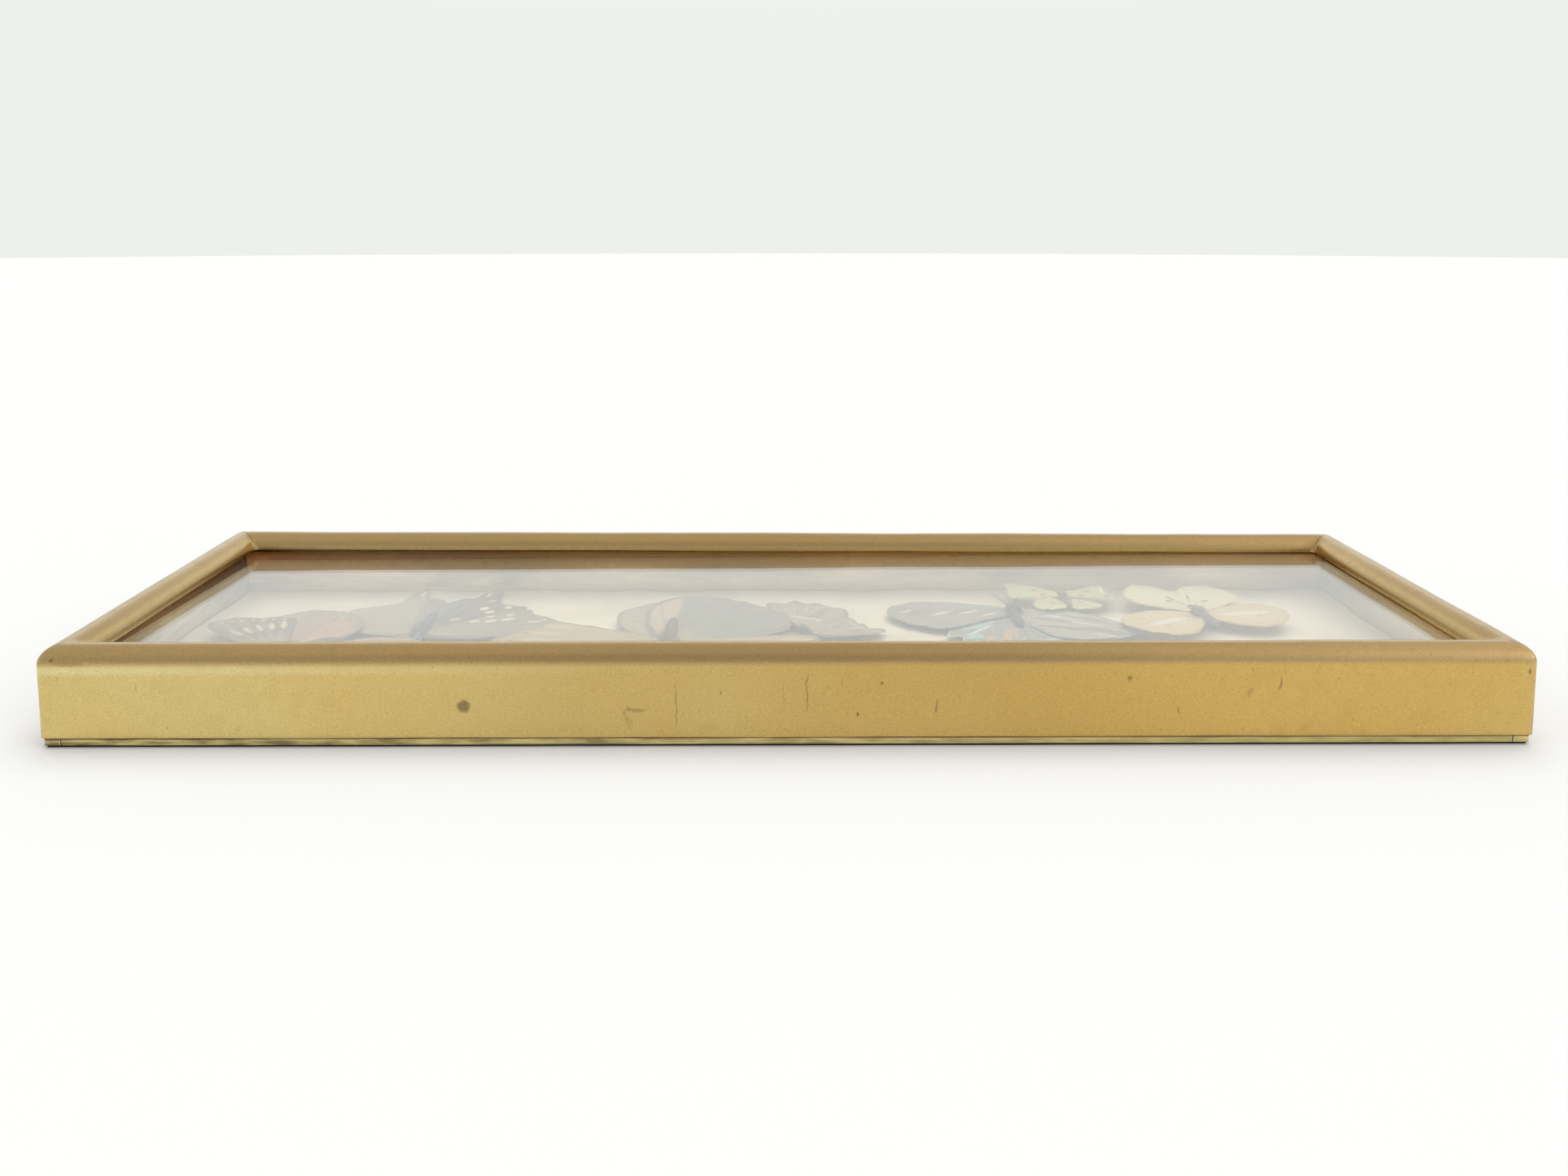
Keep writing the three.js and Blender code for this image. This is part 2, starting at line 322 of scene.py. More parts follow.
@dataclass(frozen=True)
class GiltBrass(Finish):
    """Rolled sheet brass under an aged lacquer.

    It is a satin gold, greener to the left and warmer to the right. The top of the bead has painted shade,
    browner and darker where it mirrors the dim room above, and just below it a painted highlight, where it
    mirrors bright windows. It has a fine orange peel, a speckle of grain, a tarnished foot and stains, and a
    broad painted shade over the middle of the front face.
    """

    name: str = "satin_gilt_brass"
    green_gold: str = "#d2ba76"
    warm_gold: str = "#cca85a"
    tarnish_and_shade: str = "#6b5330"
    # Painted shade: the top of the bead is browner and darker, where it mirrors the dim room above.
    painted_bead_shade: str = "#b89c68"
    bead_shade_mm: Point = (21.5, 22.6)
    # Painted highlight: a paler band just under the bead, strongest on the left, where the face mirrors
    # bright windows.
    rubbed: str = "#e9e0b4"
    highlight_band_mm: Point = (20.6, 1.6)
    cloud_mm: float = 55
    mottle_mm: float = 4
    pit_mm: float = 1.1
    # The rolling grain is drawn coarser than life, so that it shows.
    grain_mm: float = 0.34
    peel_mm: float = 0.7
    foot_mm: Point = (3.5, 2.85)
    wander_mm: Point = (2, 1.6)
    metal: float = 1.0
    front_mm: float = -61.5
    patch_depth_mm: float = 8
    blister: FrontPatch = FrontPatch(70.0, 14.4, 26.0, 13.0, 1.0)
    # Stains, and the broad painted shade over the middle of the front.
    stains: tuple[FrontPatch, ...] = FRONT_STAINS_AND_SHADE

    def paint(self, tree: bpy.types.NodeTree, surface: bpy.types.Node) -> None:
        """Sets the shader's sockets and adds the nodes that feed it."""
        add = partial(add_node, tree)
        place = add("TexCoord")["Object"]
        across, _, up = add("SeparateXYZ", {0: place})
        clouds = add("TexNoise", {"Vector": place, "Scale": 1 / (self.cloud_mm * MM), "Detail": 3.0})[0]
        mottle = add("TexNoise", {"Vector": place, "Scale": 1 / (self.mottle_mm * MM), "Detail": 5.0})[0]
        grit = add("TexNoise", {"Vector": place, "Scale": 1 / (self.pit_mm * MM), "Detail": 3.0})[0]
        lean = add("MapRange", {0: across, 1: -CASE_LENGTH / 2, 2: CASE_LENGTH / 4})[0]
        drift = add("MapRange", {0: clouds, 1: 0.3, 2: 0.7, 3: -0.3, 4: 0.3})[0]
        warmth = add("Math", {0: lean, 1: drift}, operation="ADD", use_clamp=True)[0]
        gold = add(
            "Mix", {0: warmth, 6: linear(self.green_gold), 7: linear(self.warm_gold)}, data_type="RGBA"
        )[2]
        # Painted highlight under the bead, fading out towards the right.
        painted_highlight = add("MapRange", {0: lean, 2: 0.55, 3: 0.38, 4: 0.0})[0]
        painted_highlight = add("Math", {0: painted_highlight, 1: height_band(add, up, *self.highlight_band_mm)}, operation="MULTIPLY")[0]
        gold = add("Mix", {0: painted_highlight, 6: gold, 7: linear(self.rubbed)}, data_type="RGBA")[2]
        # Painted shade on the top of the bead.
        bead_shade_band = {0: up, 1: self.bead_shade_mm[0] * MM, 2: self.bead_shade_mm[1] * MM, 4: 0.9}
        gold = add("Mix", {0: add("MapRange", bead_shade_band)[0], 6: gold, 7: linear(self.painted_bead_shade)}, data_type="RGBA")[2]
        pits = add("MapRange", {0: grit, 1: 0.66, 2: 0.78, 4: 0.35})[0]
        patches = add("MapRange", {0: mottle, 1: 0.5, 2: 0.85, 4: 0.1})[0]
        foot = add("MapRange", {0: up, 1: self.foot_mm[0] * MM, 2: self.foot_mm[1] * MM, 4: 0.5})[0]
        worn_foot = add("Math", {0: foot, 1: mottle}, operation="MULTIPLY")[0]
        dark = add("Math", {0: pits, 1: patches}, operation="MAXIMUM")[0]
        dark = add("Math", {0: dark, 1: worn_foot}, operation="MAXIMUM")[0]
        drag = add("TexNoise", {"Vector": place, "Scale": 1 / (self.wander_mm[0] * MM)})[1]
        drift_by = (self.wander_mm[1] * MM,) * 3
        wander = add("VectorMath", {0: drag, 1: drift_by, 2: place}, operation="MULTIPLY_ADD")[0]
        # The stains and the painted shade darken the brass alike.
        for front_patch in self.stains:
            mask = self.spread(add, wander, front_patch)
            dark = add("Math", {0: dark, 1: mask}, operation="MAXIMUM")[0]
        colour = add("Mix", {0: dark, 6: gold, 7: linear(self.tarnish_and_shade)}, data_type="RGBA")[2]
        grain = add("TexNoise", {"Vector": place, "Scale": 1 / (self.grain_mm * MM), "Detail": 2.0})[0]
        glint = add("MapRange", {0: grain, 1: 0.3, 2: 0.7, 3: 0.88, 4: 1.12})[0]
        colour = add("VectorMath", {0: colour, 3: glint}, operation="SCALE")[0]
        satin = add("MapRange", {0: mottle, 1: 0.25, 2: 0.75, 3: 0.25, 4: 0.33})[0]
        rough = add("Math", {0: dark, 1: 0.25, 2: satin}, operation="MULTIPLY_ADD")[0]
        peel = add("TexNoise", {"Vector": place, "Scale": 1 / (self.peel_mm * MM), "Detail": 2.0})[0]
        blister = self.spread(add, wander, self.blister)
        blister = add("Math", {0: blister, 1: 3.0, 2: 0.6}, operation="MULTIPLY_ADD")[0]
        relief = add("Math", {0: peel, 1: blister}, operation="MULTIPLY")[0]
        relief = add("Math", {0: dark, 1: -0.8, 2: relief}, operation="MULTIPLY_ADD")[0]
        bump = add("Bump", {"Height": relief, "Strength": 0.22, "Distance": 0.12 * MM})[0]
        lacquer = {"Coat Weight": 0.5, "Coat Roughness": 0.25}
        look = {"Base Color": colour, "Metallic": self.metal, "Roughness": rough, "Normal": bump}
        feed(tree, surface, look | lacquer)

    def spread(self, add: Any, place: bpy.types.NodeSocket, front_patch: FrontPatch) -> bpy.types.NodeSocket:
        """Adds the nodes of one patch on the front face: one of the stains, the blister or the broad painted
        shade.

        Args:
            add: adds a node to the material.
            place: the slightly wandering place on the surface.
            front_patch: where the patch is and how strong.

        Returns:
            The stain's strength over the surface.
        """
        middle = (front_patch.across * MM, self.front_mm * MM, front_patch.up * MM)
        half = (front_patch.width / 2 * MM, self.patch_depth_mm * MM, front_patch.height / 2 * MM)
        local = add("Mapping", {0: place, 1: middle, 3: half}, vector_type="TEXTURE")[0]
        reach = add("VectorMath", {0: local}, operation="LENGTH")["Value"]
        edge = {0: reach, 1: 1.0, 2: 0.45, 4: front_patch.strength}
        return add("MapRange", edge, interpolation_type="SMOOTHSTEP")[0]


@dataclass(frozen=True)
class DrawnBrass(Finish):
    """Drawn brass strip.

    It has long fine streaks, dull patches, dirt and painted shade along its seams, and a deeper gold towards
    its top, under the glass.
    """

    name: str = "drawn_brass_strip"
    bright: str = "#e6d592"
    dull: str = "#6a5a40"
    brow: str = "#d9a850"
    brow_mm: Point = (12.5, 16.5)
    # Dirt and painted shade along the seams: at the strip's foot and under the rail's lower edge.
    grime_and_shade: str = "#4e3424"
    grime_and_shade_strength: float = 0.85
    seams_mm: Point = (0.35, 2.45)
    seam_reach_mm: float = 0.5
    streak_mm: float = 0.5
    streak_length_mm: float = 30
    patch_mm: float = 1.5
    patch_length_mm: float = 9

    def paint(self, tree: bpy.types.NodeTree, surface: bpy.types.Node) -> None:
        """Sets the shader's sockets and adds the nodes that feed it."""
        add = partial(add_node, tree)
        place = add("TexCoord")["Object"]
        drawn = (1 / (self.streak_length_mm * MM),) * 2 + (1 / (self.streak_mm * MM),)
        stretched = add("Mapping", {0: place, 3: drawn})[0]
        streaks = add("TexNoise", {"Vector": stretched, "Scale": 1.0, "Detail": 3.0})[0]
        rubbed = (1 / (self.patch_length_mm * MM),) * 2 + (1 / (self.patch_mm * MM),)
        smeared = add("Mapping", {0: place, 3: rubbed})[0]
        patches = add("TexNoise", {"Vector": smeared, "Scale": 1.0, "Detail": 4.0})[0]
        uneven = add("Math", {0: streaks, 1: 0.6, 2: patches}, operation="MULTIPLY_ADD")[0]
        across, _, up = add("SeparateXYZ", {0: place})
        most = add("MapRange", {0: across, 1: -CASE_LENGTH / 2, 2: CASE_LENGTH / 4, 3: 0.85, 4: 0.35})[0]
        dull = add("MapRange", {0: uneven, 1: 0.68, 2: 0.95, 4: most})[0]
        colour = add("Mix", {0: dull, 6: linear(self.bright), 7: linear(self.dull)}, data_type="RGBA")[2]
        # A deeper gold towards the top of the strip, under the glass.
        brow = add("MapRange", {0: up, 1: self.brow_mm[0] * MM, 2: self.brow_mm[1] * MM})[0]
        colour = add("Mix", {0: brow, 6: colour, 7: linear(self.brow)}, data_type="RGBA")[2]
        # Dirt and painted shade along each seam.
        for seam in self.seams_mm:
            grime_and_shade = height_band(add, up, seam, self.seam_reach_mm)
            grime_and_shade = add("Math", {0: grime_and_shade, 1: self.grime_and_shade_strength}, operation="MULTIPLY")[0]
            colour = add("Mix", {0: grime_and_shade, 6: colour, 7: linear(self.grime_and_shade)}, data_type="RGBA")[2]
        rough = add("MapRange", {0: streaks, 1: 0.3, 2: 0.7, 3: 0.26, 4: 0.4})[0]
        bump = add("Bump", {"Height": streaks, "Strength": 0.2, "Distance": 0.05 * MM})[0]
        feed(tree, surface, {"Base Color": colour, "Metallic": 1.0, "Roughness": rough, "Normal": bump})


@dataclass(frozen=True)
class SheetGlass(Finish):
    """Old sheet glass: clear, with a faint film of dust on the side that faces the room."""

    name: str
    clearness: float
    dust: float
    smear_mm: float = 14

    def paint(self, tree: bpy.types.NodeTree, surface: bpy.types.Node) -> None:
        """Sets the shader's sockets and adds the nodes that feed it."""
        add = partial(add_node, tree)
        place = add("TexCoord")["Object"]
        smear = add("TexNoise", {"Vector": place, "Scale": 1 / (self.smear_mm * MM), "Detail": 6.0})[0]
        rough = add("MapRange", {0: smear, 1: 0.35, 2: 0.75, 3: 0.0, 4: 0.03})[0]
        clear = {"Base Color": linear("#ffffff"), "Transmission Weight": self.clearness, "IOR": 1.52}
        film = {"Sheen Weight": self.dust, "Sheen Roughness": 0.5, "Roughness": rough}
        feed(tree, surface, clear | film)


@dataclass(frozen=True)
class Card(Finish):
    """Pressed card: matt and fibrous, with faint stains of age."""

    name: str
    ground: str
    aged: str
    fibre_mm: float = 0.5
    fibre_length_mm: float = 4
    stain_mm: float = 22

    def paint(self, tree: bpy.types.NodeTree, surface: bpy.types.Node) -> None:
        """Sets the shader's sockets and adds the nodes that feed it."""
        add = partial(add_node, tree)
        place = add("TexCoord")["Object"]
        long, thin = 1 / (self.fibre_length_mm * MM), 1 / (self.fibre_mm * MM)
        stretched = add("Mapping", {0: place, 3: (long, thin, thin)})[0]
        fibres = add("TexNoise", {"Vector": stretched, "Scale": 1.0, "Detail": 4.0})[0]
        stains = add("TexNoise", {"Vector": place, "Scale": 1 / (self.stain_mm * MM), "Detail": 5.0})[0]
        both = add("Math", {0: fibres, 1: 0.45, 2: stains}, operation="MULTIPLY_ADD")[0]
        aged = add("MapRange", {0: both, 1: 0.62, 2: 1.05, 4: 0.8})[0]
        colour = add("Mix", {0: aged, 6: linear(self.ground), 7: linear(self.aged)}, data_type="RGBA")[2]
        rough = add("MapRange", {0: fibres, 3: 0.78, 4: 0.95})[0]
        bump = add("Bump", {"Height": fibres, "Strength": 0.3, "Distance": 0.08 * MM})[0]
        look = {"Base Color": colour, "Roughness": rough, "Specular IOR Level": 0.25, "Normal": bump}
        feed(tree, surface, look)


@dataclass(frozen=True)
class Cloth(Finish):
    """Plain white cotton under the case: matt, with a weave too fine to show."""

    name: str = "white_cotton"
    tone: str = "#d3d5d6"
    crease_mm: float = 120
    glow: float = 0.02

    def paint(self, tree: bpy.types.NodeTree, surface: bpy.types.Node) -> None:
        """Sets the shader's sockets and adds the nodes that feed it."""
        add = partial(add_node, tree)
        place = add("TexCoord")["Object"]
        crease = add("TexNoise", {"Vector": place, "Scale": 1 / (self.crease_mm * MM), "Detail": 4.0})[0]
        bump = add("Bump", {"Height": crease, "Strength": 0.15, "Distance": 2 * MM})[0]
        tone = linear(self.tone)
        matt = {"Base Color": tone, "Roughness": 1.0, "Specular IOR Level": 0.0, "Normal": bump}
        feed(tree, surface, matt | {"Emission Color": tone, "Emission Strength": self.glow})


@dataclass(frozen=True)
class Mark:
    """Like-coloured ellipses on a wing, in shares of the wing's length.

    An ellipse has its place along the span and towards the head, its half length and half width, and its
    turn in degrees.
    """

    colour: str
    ellipses: tuple[Ellipse, ...]


def row(start: Point, end: Point, count: int, radius: float) -> tuple[Ellipse, ...]:
    """Lays round spots in a straight row.

    Args:
        start: the first spot's place.
        end: the last spot's place.
        count: how many spots.
        radius: each spot's radius.

    Returns:
        The spots.
    """
    shares = [i / max(count - 1, 1) for i in range(count)]
    return tuple(
        (start[0] + (end[0] - start[0]) * s, start[1] + (end[1] - start[1]) * s, radius, radius, 0.0)
        for s in shares
    )


def fan(angles: Point, reach: Point, count: int, width: float) -> tuple[Ellipse, ...]:
    """Lays long streaks that spread from the wing's root.

    Args:
        angles: the first and last streak's direction in degrees.
        reach: where the streaks start and end.
        count: how many streaks.
        width: each streak's half width.

    Returns:
        The streaks.
    """
    middle, half = (reach[0] + reach[1]) / 2, (reach[1] - reach[0]) / 2
    streaks = []
    for i in range(count):
        angle = angles[0] + (angles[1] - angles[0]) * i / max(count - 1, 1)
        turn = math.radians(angle)
        streaks.append((middle * math.cos(turn), middle * math.sin(turn), half, width, angle))
    return tuple(streaks)


@dataclass(frozen=True)
class WingScales(Finish):
    """Dry wing scales: velvety and matt, faded, with raised veins, a dark rim and soft-edged markings.

    The colours run from the root over the ground to the edge; marbling breaks them up.
    """

    name: str
    span_mm: float
    root: str
    ground: str
    edge: str
    marbling: str
    rim: str
    veins: str
    marks: tuple[Mark, ...] = ()
    marbling_amount: float = 0.35
    marbling_mm: float = 3.5
    rim_mm: float = 1.0
    vein_strength: float = 0.6
    vein_mm: float = 0.35
    vein_count: int = 14
    roughness: float = 0.7
    sheen: float = 0.7
    bloom: str = "#cbbd98"
    fading: float = 0.3
    # The scales are drawn coarser than life, so that they show.
    scale_mm: float = 0.45
    fray_mm: float = 0.9
    fork: float = 0.48

    def paint(self, tree: bpy.types.NodeTree, surface: bpy.types.Node) -> None:
        """Sets the shader's sockets and adds the nodes that feed it."""
        add = partial(add_node, tree)
        place = add("Attribute", attribute_name="wing_place")["Vector"]
        spread = add("Attribute", attribute_name="wing_reach")["Vector"]
        reach, round_rim, to_rim = add("SeparateXYZ", {0: spread})
        grain = add("TexNoise", {"Vector": place, "Scale": self.span_mm / self.scale_mm, "Detail": 2.0})
        cloud = add("TexNoise", {"Vector": place, "Scale": self.span_mm / self.marbling_mm, "Detail": 5.0})
        frayed = (self.fray_mm / self.span_mm,) * 3
        frayed_place = add("VectorMath", {0: grain[1], 1: frayed, 2: place}, operation="MULTIPLY_ADD")[0]
        inner = add("MapRange", {0: reach, 1: 0.05, 2: 0.42}, interpolation_type="SMOOTHSTEP")[0]
        outer = add("MapRange", {0: reach, 1: 0.55, 2: 0.98}, interpolation_type="SMOOTHSTEP")[0]
        colour = add("Mix", {0: inner, 6: linear(self.root), 7: linear(self.ground)}, data_type="RGBA")[2]
        colour = add("Mix", {0: outer, 6: colour, 7: linear(self.edge)}, data_type="RGBA")[2]
        marbled = add("MapRange", {0: cloud[0], 1: 0.42, 2: 0.72, 4: self.marbling_amount})[0]
        colour = add("Mix", {0: marbled, 6: colour, 7: linear(self.marbling)}, data_type="RGBA")[2]
        for mark in self.marks:
            mask = self.mark_mask(add, frayed_place, mark)
            colour = add("Mix", {0: mask, 6: colour, 7: linear(mark.colour)}, data_type="RGBA")[2]
        veins = self.vein_mask(add, reach, round_rim)
        colour = add("Mix", {0: veins, 6: colour, 7: linear(self.veins)}, data_type="RGBA")[2]
        ragged = add("Math", {0: grain[0], 1: 0.8, 2: to_rim}, operation="MULTIPLY_ADD")[0]
        rim = {0: ragged, 1: self.rim_mm + 0.75, 2: self.rim_mm + 0.2}
        rim_mask = add("MapRange", rim, interpolation_type="SMOOTHSTEP")[0]
        colour = add("Mix", {0: rim_mask, 6: colour, 7: linear(self.rim)}, data_type="RGBA")[2]
        shade = add("MapRange", {0: grain[0], 1: 0.3, 2: 0.7, 3: 0.86, 4: 1.1})[0]
        colour = add("VectorMath", {0: colour, 3: shade}, operation="SCALE")[0]
        colour = add("Mix", {0: self.fading, 6: colour, 7: linear(self.bloom)}, data_type="RGBA")[2]
        relief = add("Math", {0: veins, 1: 2.2, 2: grain[0]}, operation="MULTIPLY_ADD")[0]
        bump = add("Bump", {"Height": relief, "Strength": 0.5, "Distance": 0.09 * MM})[0]
        velvet = {"Sheen Weight": self.sheen, "Sheen Roughness": 0.4, "Sheen Tint": linear("#fff0d2")}
        matt = {"Roughness": self.roughness, "Specular IOR Level": 0.3}
        feed(tree, surface, {"Base Color": colour, "Normal": bump} | matt | velvet)

    def mark_mask(self, add: Any, place: bpy.types.NodeSocket, mark: Mark) -> bpy.types.NodeSocket:
        """Adds the nodes of one marking.

        Args:
            add: adds a node to the material.
            place: the place on the wing, frayed by its scales.
            mark: the marking.

        Returns:
            1 inside the marking and 0 outside, with a soft edge.
        """
        nearest = None
        for along, ahead, half_length, half_width, turn in mark.ellipses:
            middle, lie, half = (along, ahead, 0), (0, 0, math.radians(turn)), (half_length, half_width, 1)
            local = add("Mapping", {0: place, 1: middle, 2: lie, 3: half}, vector_type="TEXTURE")[0]
            reach = add("VectorMath", {0: local}, operation="LENGTH")["Value"]
            if nearest is not None:
                reach = add("Math", {0: nearest, 1: reach}, operation="MINIMUM")[0]
            nearest = reach
        return add("MapRange", {0: nearest, 1: 1.15, 2: 0.8}, interpolation_type="SMOOTHSTEP")[0]

    def vein_mask(self, add: Any, reach: bpy.types.NodeSocket, round_rim: bpy.types.NodeSocket) -> Any:
        """Adds the nodes of the veins, which spread from the root and fork halfway out.

        Args:
            add: adds a node to the material.
            reach: share of the way from the root to the rim.
            round_rim: share of the way round the rim.

        Returns:
            The veins' strength over the wing.
        """
        rim_length = 2.5 * self.span_mm
        lines = []
        for count in (self.vein_count / 2, self.vein_count):
            turns = add("Math", {0: round_rim, 1: count}, operation="MULTIPLY")[0]
            off = add("Math", {0: turns, 1: 0.5}, operation="PINGPONG")[0]
            off = add("Math", {0: off, 1: reach}, operation="MULTIPLY")[0]
            lines.append(add("Math", {0: off, 1: rim_length / count}, operation="MULTIPLY")[0])
        forked = add("Math", {0: reach, 1: self.fork}, operation="GREATER_THAN")[0]
        off = add("Mix", {0: forked, 2: lines[0], 3: lines[1]}, data_type="FLOAT")[0]
        line = {0: off, 1: self.vein_mm, 2: self.vein_mm * 0.3, 4: self.vein_strength}
        return add("MapRange", line, interpolation_type="SMOOTHSTEP")[0]


@dataclass(frozen=True)
class Chitin(Finish):
    """Dried insect shell: dark, faintly glossy, dusted between its rings."""

    name: str
    tone: str
    dust: str
    patch_mm: float = 0.8
    roughness: float = 0.5

    def paint(self, tree: bpy.types.NodeTree, surface: bpy.types.Node) -> None:
        """Sets the shader's sockets and adds the nodes that feed it."""
        add = partial(add_node, tree)
        place = add("TexCoord")["Object"]
        patches = add("TexNoise", {"Vector": place, "Scale": 1 / (self.patch_mm * MM), "Detail": 4.0})[0]
        dusty = add("MapRange", {0: patches, 1: 0.4, 2: 0.75, 4: 0.8})[0]
        colour = add("Mix", {0: dusty, 6: linear(self.tone), 7: linear(self.dust)}, data_type="RGBA")[2]
        rough = add("Math", {0: dusty, 1: 0.3, 2: self.roughness}, operation="MULTIPLY_ADD")[0]
        bump = add("Bump", {"Height": patches, "Strength": 0.3, "Distance": 0.06 * MM})[0]
        feed(tree, surface, {"Base Color": colour, "Roughness": rough, "Normal": bump})


@dataclass
class Cover:
    """Four mitred rails of rolled sheet: a flared face, a half-round bead and a lip over the glass."""

    bottom: float = 2.85 * MM
    face_height: float = 18.5 * MM
    flare: float = 1.27 * MM
    bead_radius: float = 4.9 * MM
    sheet: float = 0.7 * MM
    corner_lift: float = 1.75 * MM
    corner_round: float = 1.6 * MM
    mitre_gap: float = 0.1 * MM
    division: float = 3.2 * MM
    face_steps: int = 5
    bead_steps: int = 18
    finish: Finish = field(default_factory=GiltBrass)
    # Inside the bead, the band of painted shade has its own colour.
    inside: Finish = GiltBrass(
        "tarnished_brass_inside", green_gold="#a87c38", warm_gold="#9c6f2c", tarnish_and_shade="#5a4018",
        painted_bead_shade="#9c7434", metal=0.3, stains=(),
    )

    def section(self) -> list[tuple[float, float]]:
        """Gives the rail's outside from foot to lip, as inset and height."""
        top = self.bottom + self.face_height
        steps = [i / self.face_steps for i in range(self.face_steps + 1)]
        face = [(self.flare * s, self.bottom + self.face_height * s) for s in steps]
        radius = self.bead_radius
        centre = self.flare + radius
        turns = [math.pi * (1 - i / self.bead_steps) for i in range(1, self.bead_steps + 1)]
        bead = [(centre + radius * math.cos(turn), top + radius * math.sin(turn)) for turn in turns]
        return face + bead

    def ring(self) -> bpy.types.Object:
        """Rolls the whole cover as one ring, with rounded corners and soft dents."""
        ring = started(bpy.ops.mesh.primitive_plane_add, size=1)
        with editing(ring):
            bpy.ops.transform.resize(value=(CASE_LENGTH, CASE_DEPTH, 1))
            bpy.ops.transform.translate(value=(0, 0, self.bottom))
            bpy.ops.mesh.delete(type="ONLY_FACE")
            bpy.ops.mesh.select_all(action="SELECT")
            bpy.ops.mesh.bevel(offset=self.corner_round, segments=4, affect="VERTICES")
        for side in (CASE_LENGTH, CASE_DEPTH):
            self.divide(ring, side)
        section = self.section()
        with editing(ring):
            for (inset, height), (next_inset, next_height) in zip(section, section[1:]):
                up = {"value": (0, 0, next_height - height)}
                bpy.ops.mesh.extrude_region_move(TRANSFORM_OT_translate=up)
                shrink = [(s - 2 * next_inset) / (s - 2 * inset) for s in (CASE_LENGTH, CASE_DEPTH)]
                bpy.ops.transform.resize(value=(*shrink, 1), center_override=(0, 0, 0))
            bpy.ops.mesh.select_all(action="SELECT")
            bpy.ops.mesh.normals_make_consistent(inside=False)
        front = min(ring.data.polygons, key=lambda f: f.center.y + abs(f.center.x))
        if front.normal.y > 0:
            with editing(ring):
                bpy.ops.mesh.flip_normals()
        wall = ring.modifiers.new("sheet", "SOLIDIFY")
        wall.thickness = self.sheet
        wall.offset = -1
        wall.use_even_offset = True
        wall.material_offset = 1
        for finish in (self.finish, self.inside):
            ring.data.materials.append(finish.material())
        for name, size_mm, depth in (("long_dents", 46, 0.35 * MM), ("small_dents", 13, 0.1 * MM)):
            dent = ring.modifiers.new(name, "DISPLACE")
            dent.texture = dents(name, size_mm)
            dent.strength = depth
            dent.mid_level = 0.5
        settle(ring)
        return ring

    def divide(self, ring: bpy.types.Object, side: float) -> None:
        """Divides the two edges that run along sides of this length."""
        straight = side - 2 * self.corner_round
        for edge in ring.data.edges:
            ends = [ring.data.vertices[i].co for i in edge.vertices]
            edge.select = abs((ends[0] - ends[1]).length - straight) < self.corner_round
        chosen = [edge.index for edge in ring.data.edges if edge.select]
        with editing(ring):
            bpy.ops.mesh.select_all(action="DESELECT")
            bpy.ops.object.mode_set(mode="OBJECT")
            for index in chosen:
                ring.data.edges[index].select = True
            bpy.ops.object.mode_set(mode="EDIT")
            bpy.ops.mesh.subdivide(number_cuts=round(side / self.division))

    def twist(self, ring: bpy.types.Object) -> None:
        """Lifts the back left corner, as the cover sits on its tray."""
        bpy.ops.object.select_all(action="DESELECT")
        bpy.ops.object.add(type="LATTICE", location=(0, 0, self.bottom))
        cage = bpy.context.object
        cage.data.points_u = cage.data.points_v = cage.data.points_w = 2
        for axis in "uvw":
            setattr(cage.data, f"interpolation_type_{axis}", "KEY_LINEAR")
        cage.scale = (CASE_LENGTH, CASE_DEPTH, 2 * self.face_height)
        for knot in cage.data.points:
            if knot.co.x < 0 < knot.co.y:
                knot.co_deform.z += self.corner_lift / cage.scale.z
        bpy.context.view_layer.update()
        lift = ring.modifiers.new("twist", "LATTICE")
        lift.object = cage
        settle(ring)
        bpy.data.objects.remove(cage)

    def build(self) -> list[bpy.types.Object]:
        """Builds the four rails.

        Returns:
            The front, right, back and left rail.
        """
        ring = self.ring()
        self.twist(ring)
        rails = []
        for name, turn in (("front", 0), ("right", 90), ("back", 180), ("left", 270)):
            rails.append(self.cut(ring, name, math.radians(turn)))
        bpy.data.objects.remove(ring)
        return rails

    def cut(self, ring: bpy.types.Object, name: str, turn: float) -> bpy.types.Object:
        """Mitres one rail out of the ring.

        Args:
            ring: the whole cover.
            name: the side's name.
            turn: the side's turn about the case's middle.

        Returns:
            The rail.
        """
        pick_only(ring)
        bpy.ops.object.duplicate()
        rail = bpy.context.object
        facing = Matrix.Rotation(turn, 3, "Z")
        outward = facing @ Vector((0, -1, 0))
        reach = abs(outward.x) * CASE_LENGTH / 2 + abs(outward.y) * CASE_DEPTH / 2
        half = abs(outward.y) * CASE_LENGTH / 2 + abs(outward.x) * CASE_DEPTH / 2
        with editing(rail):
            for end in (-1, 1):
                corner = facing @ Vector((end * half, -reach, 0))
                across = facing @ Vector((end, 1, 0)).normalized()
                bpy.ops.mesh.select_all(action="SELECT")
                bpy.ops.mesh.bisect(
                    plane_co=corner - across * self.mitre_gap,
                    plane_no=across,
                    use_fill=True,
                    clear_outer=True,
                )
            bpy.ops.mesh.select_all(action="SELECT")
            bpy.ops.mesh.bisect(plane_co=(0, 0, 0), plane_no=-outward, clear_outer=True)
        smooth_by_angle(rail, 35)
        return fix_on(rail, f"{name}_rail", "gilt_brass", f"rail_{name}")


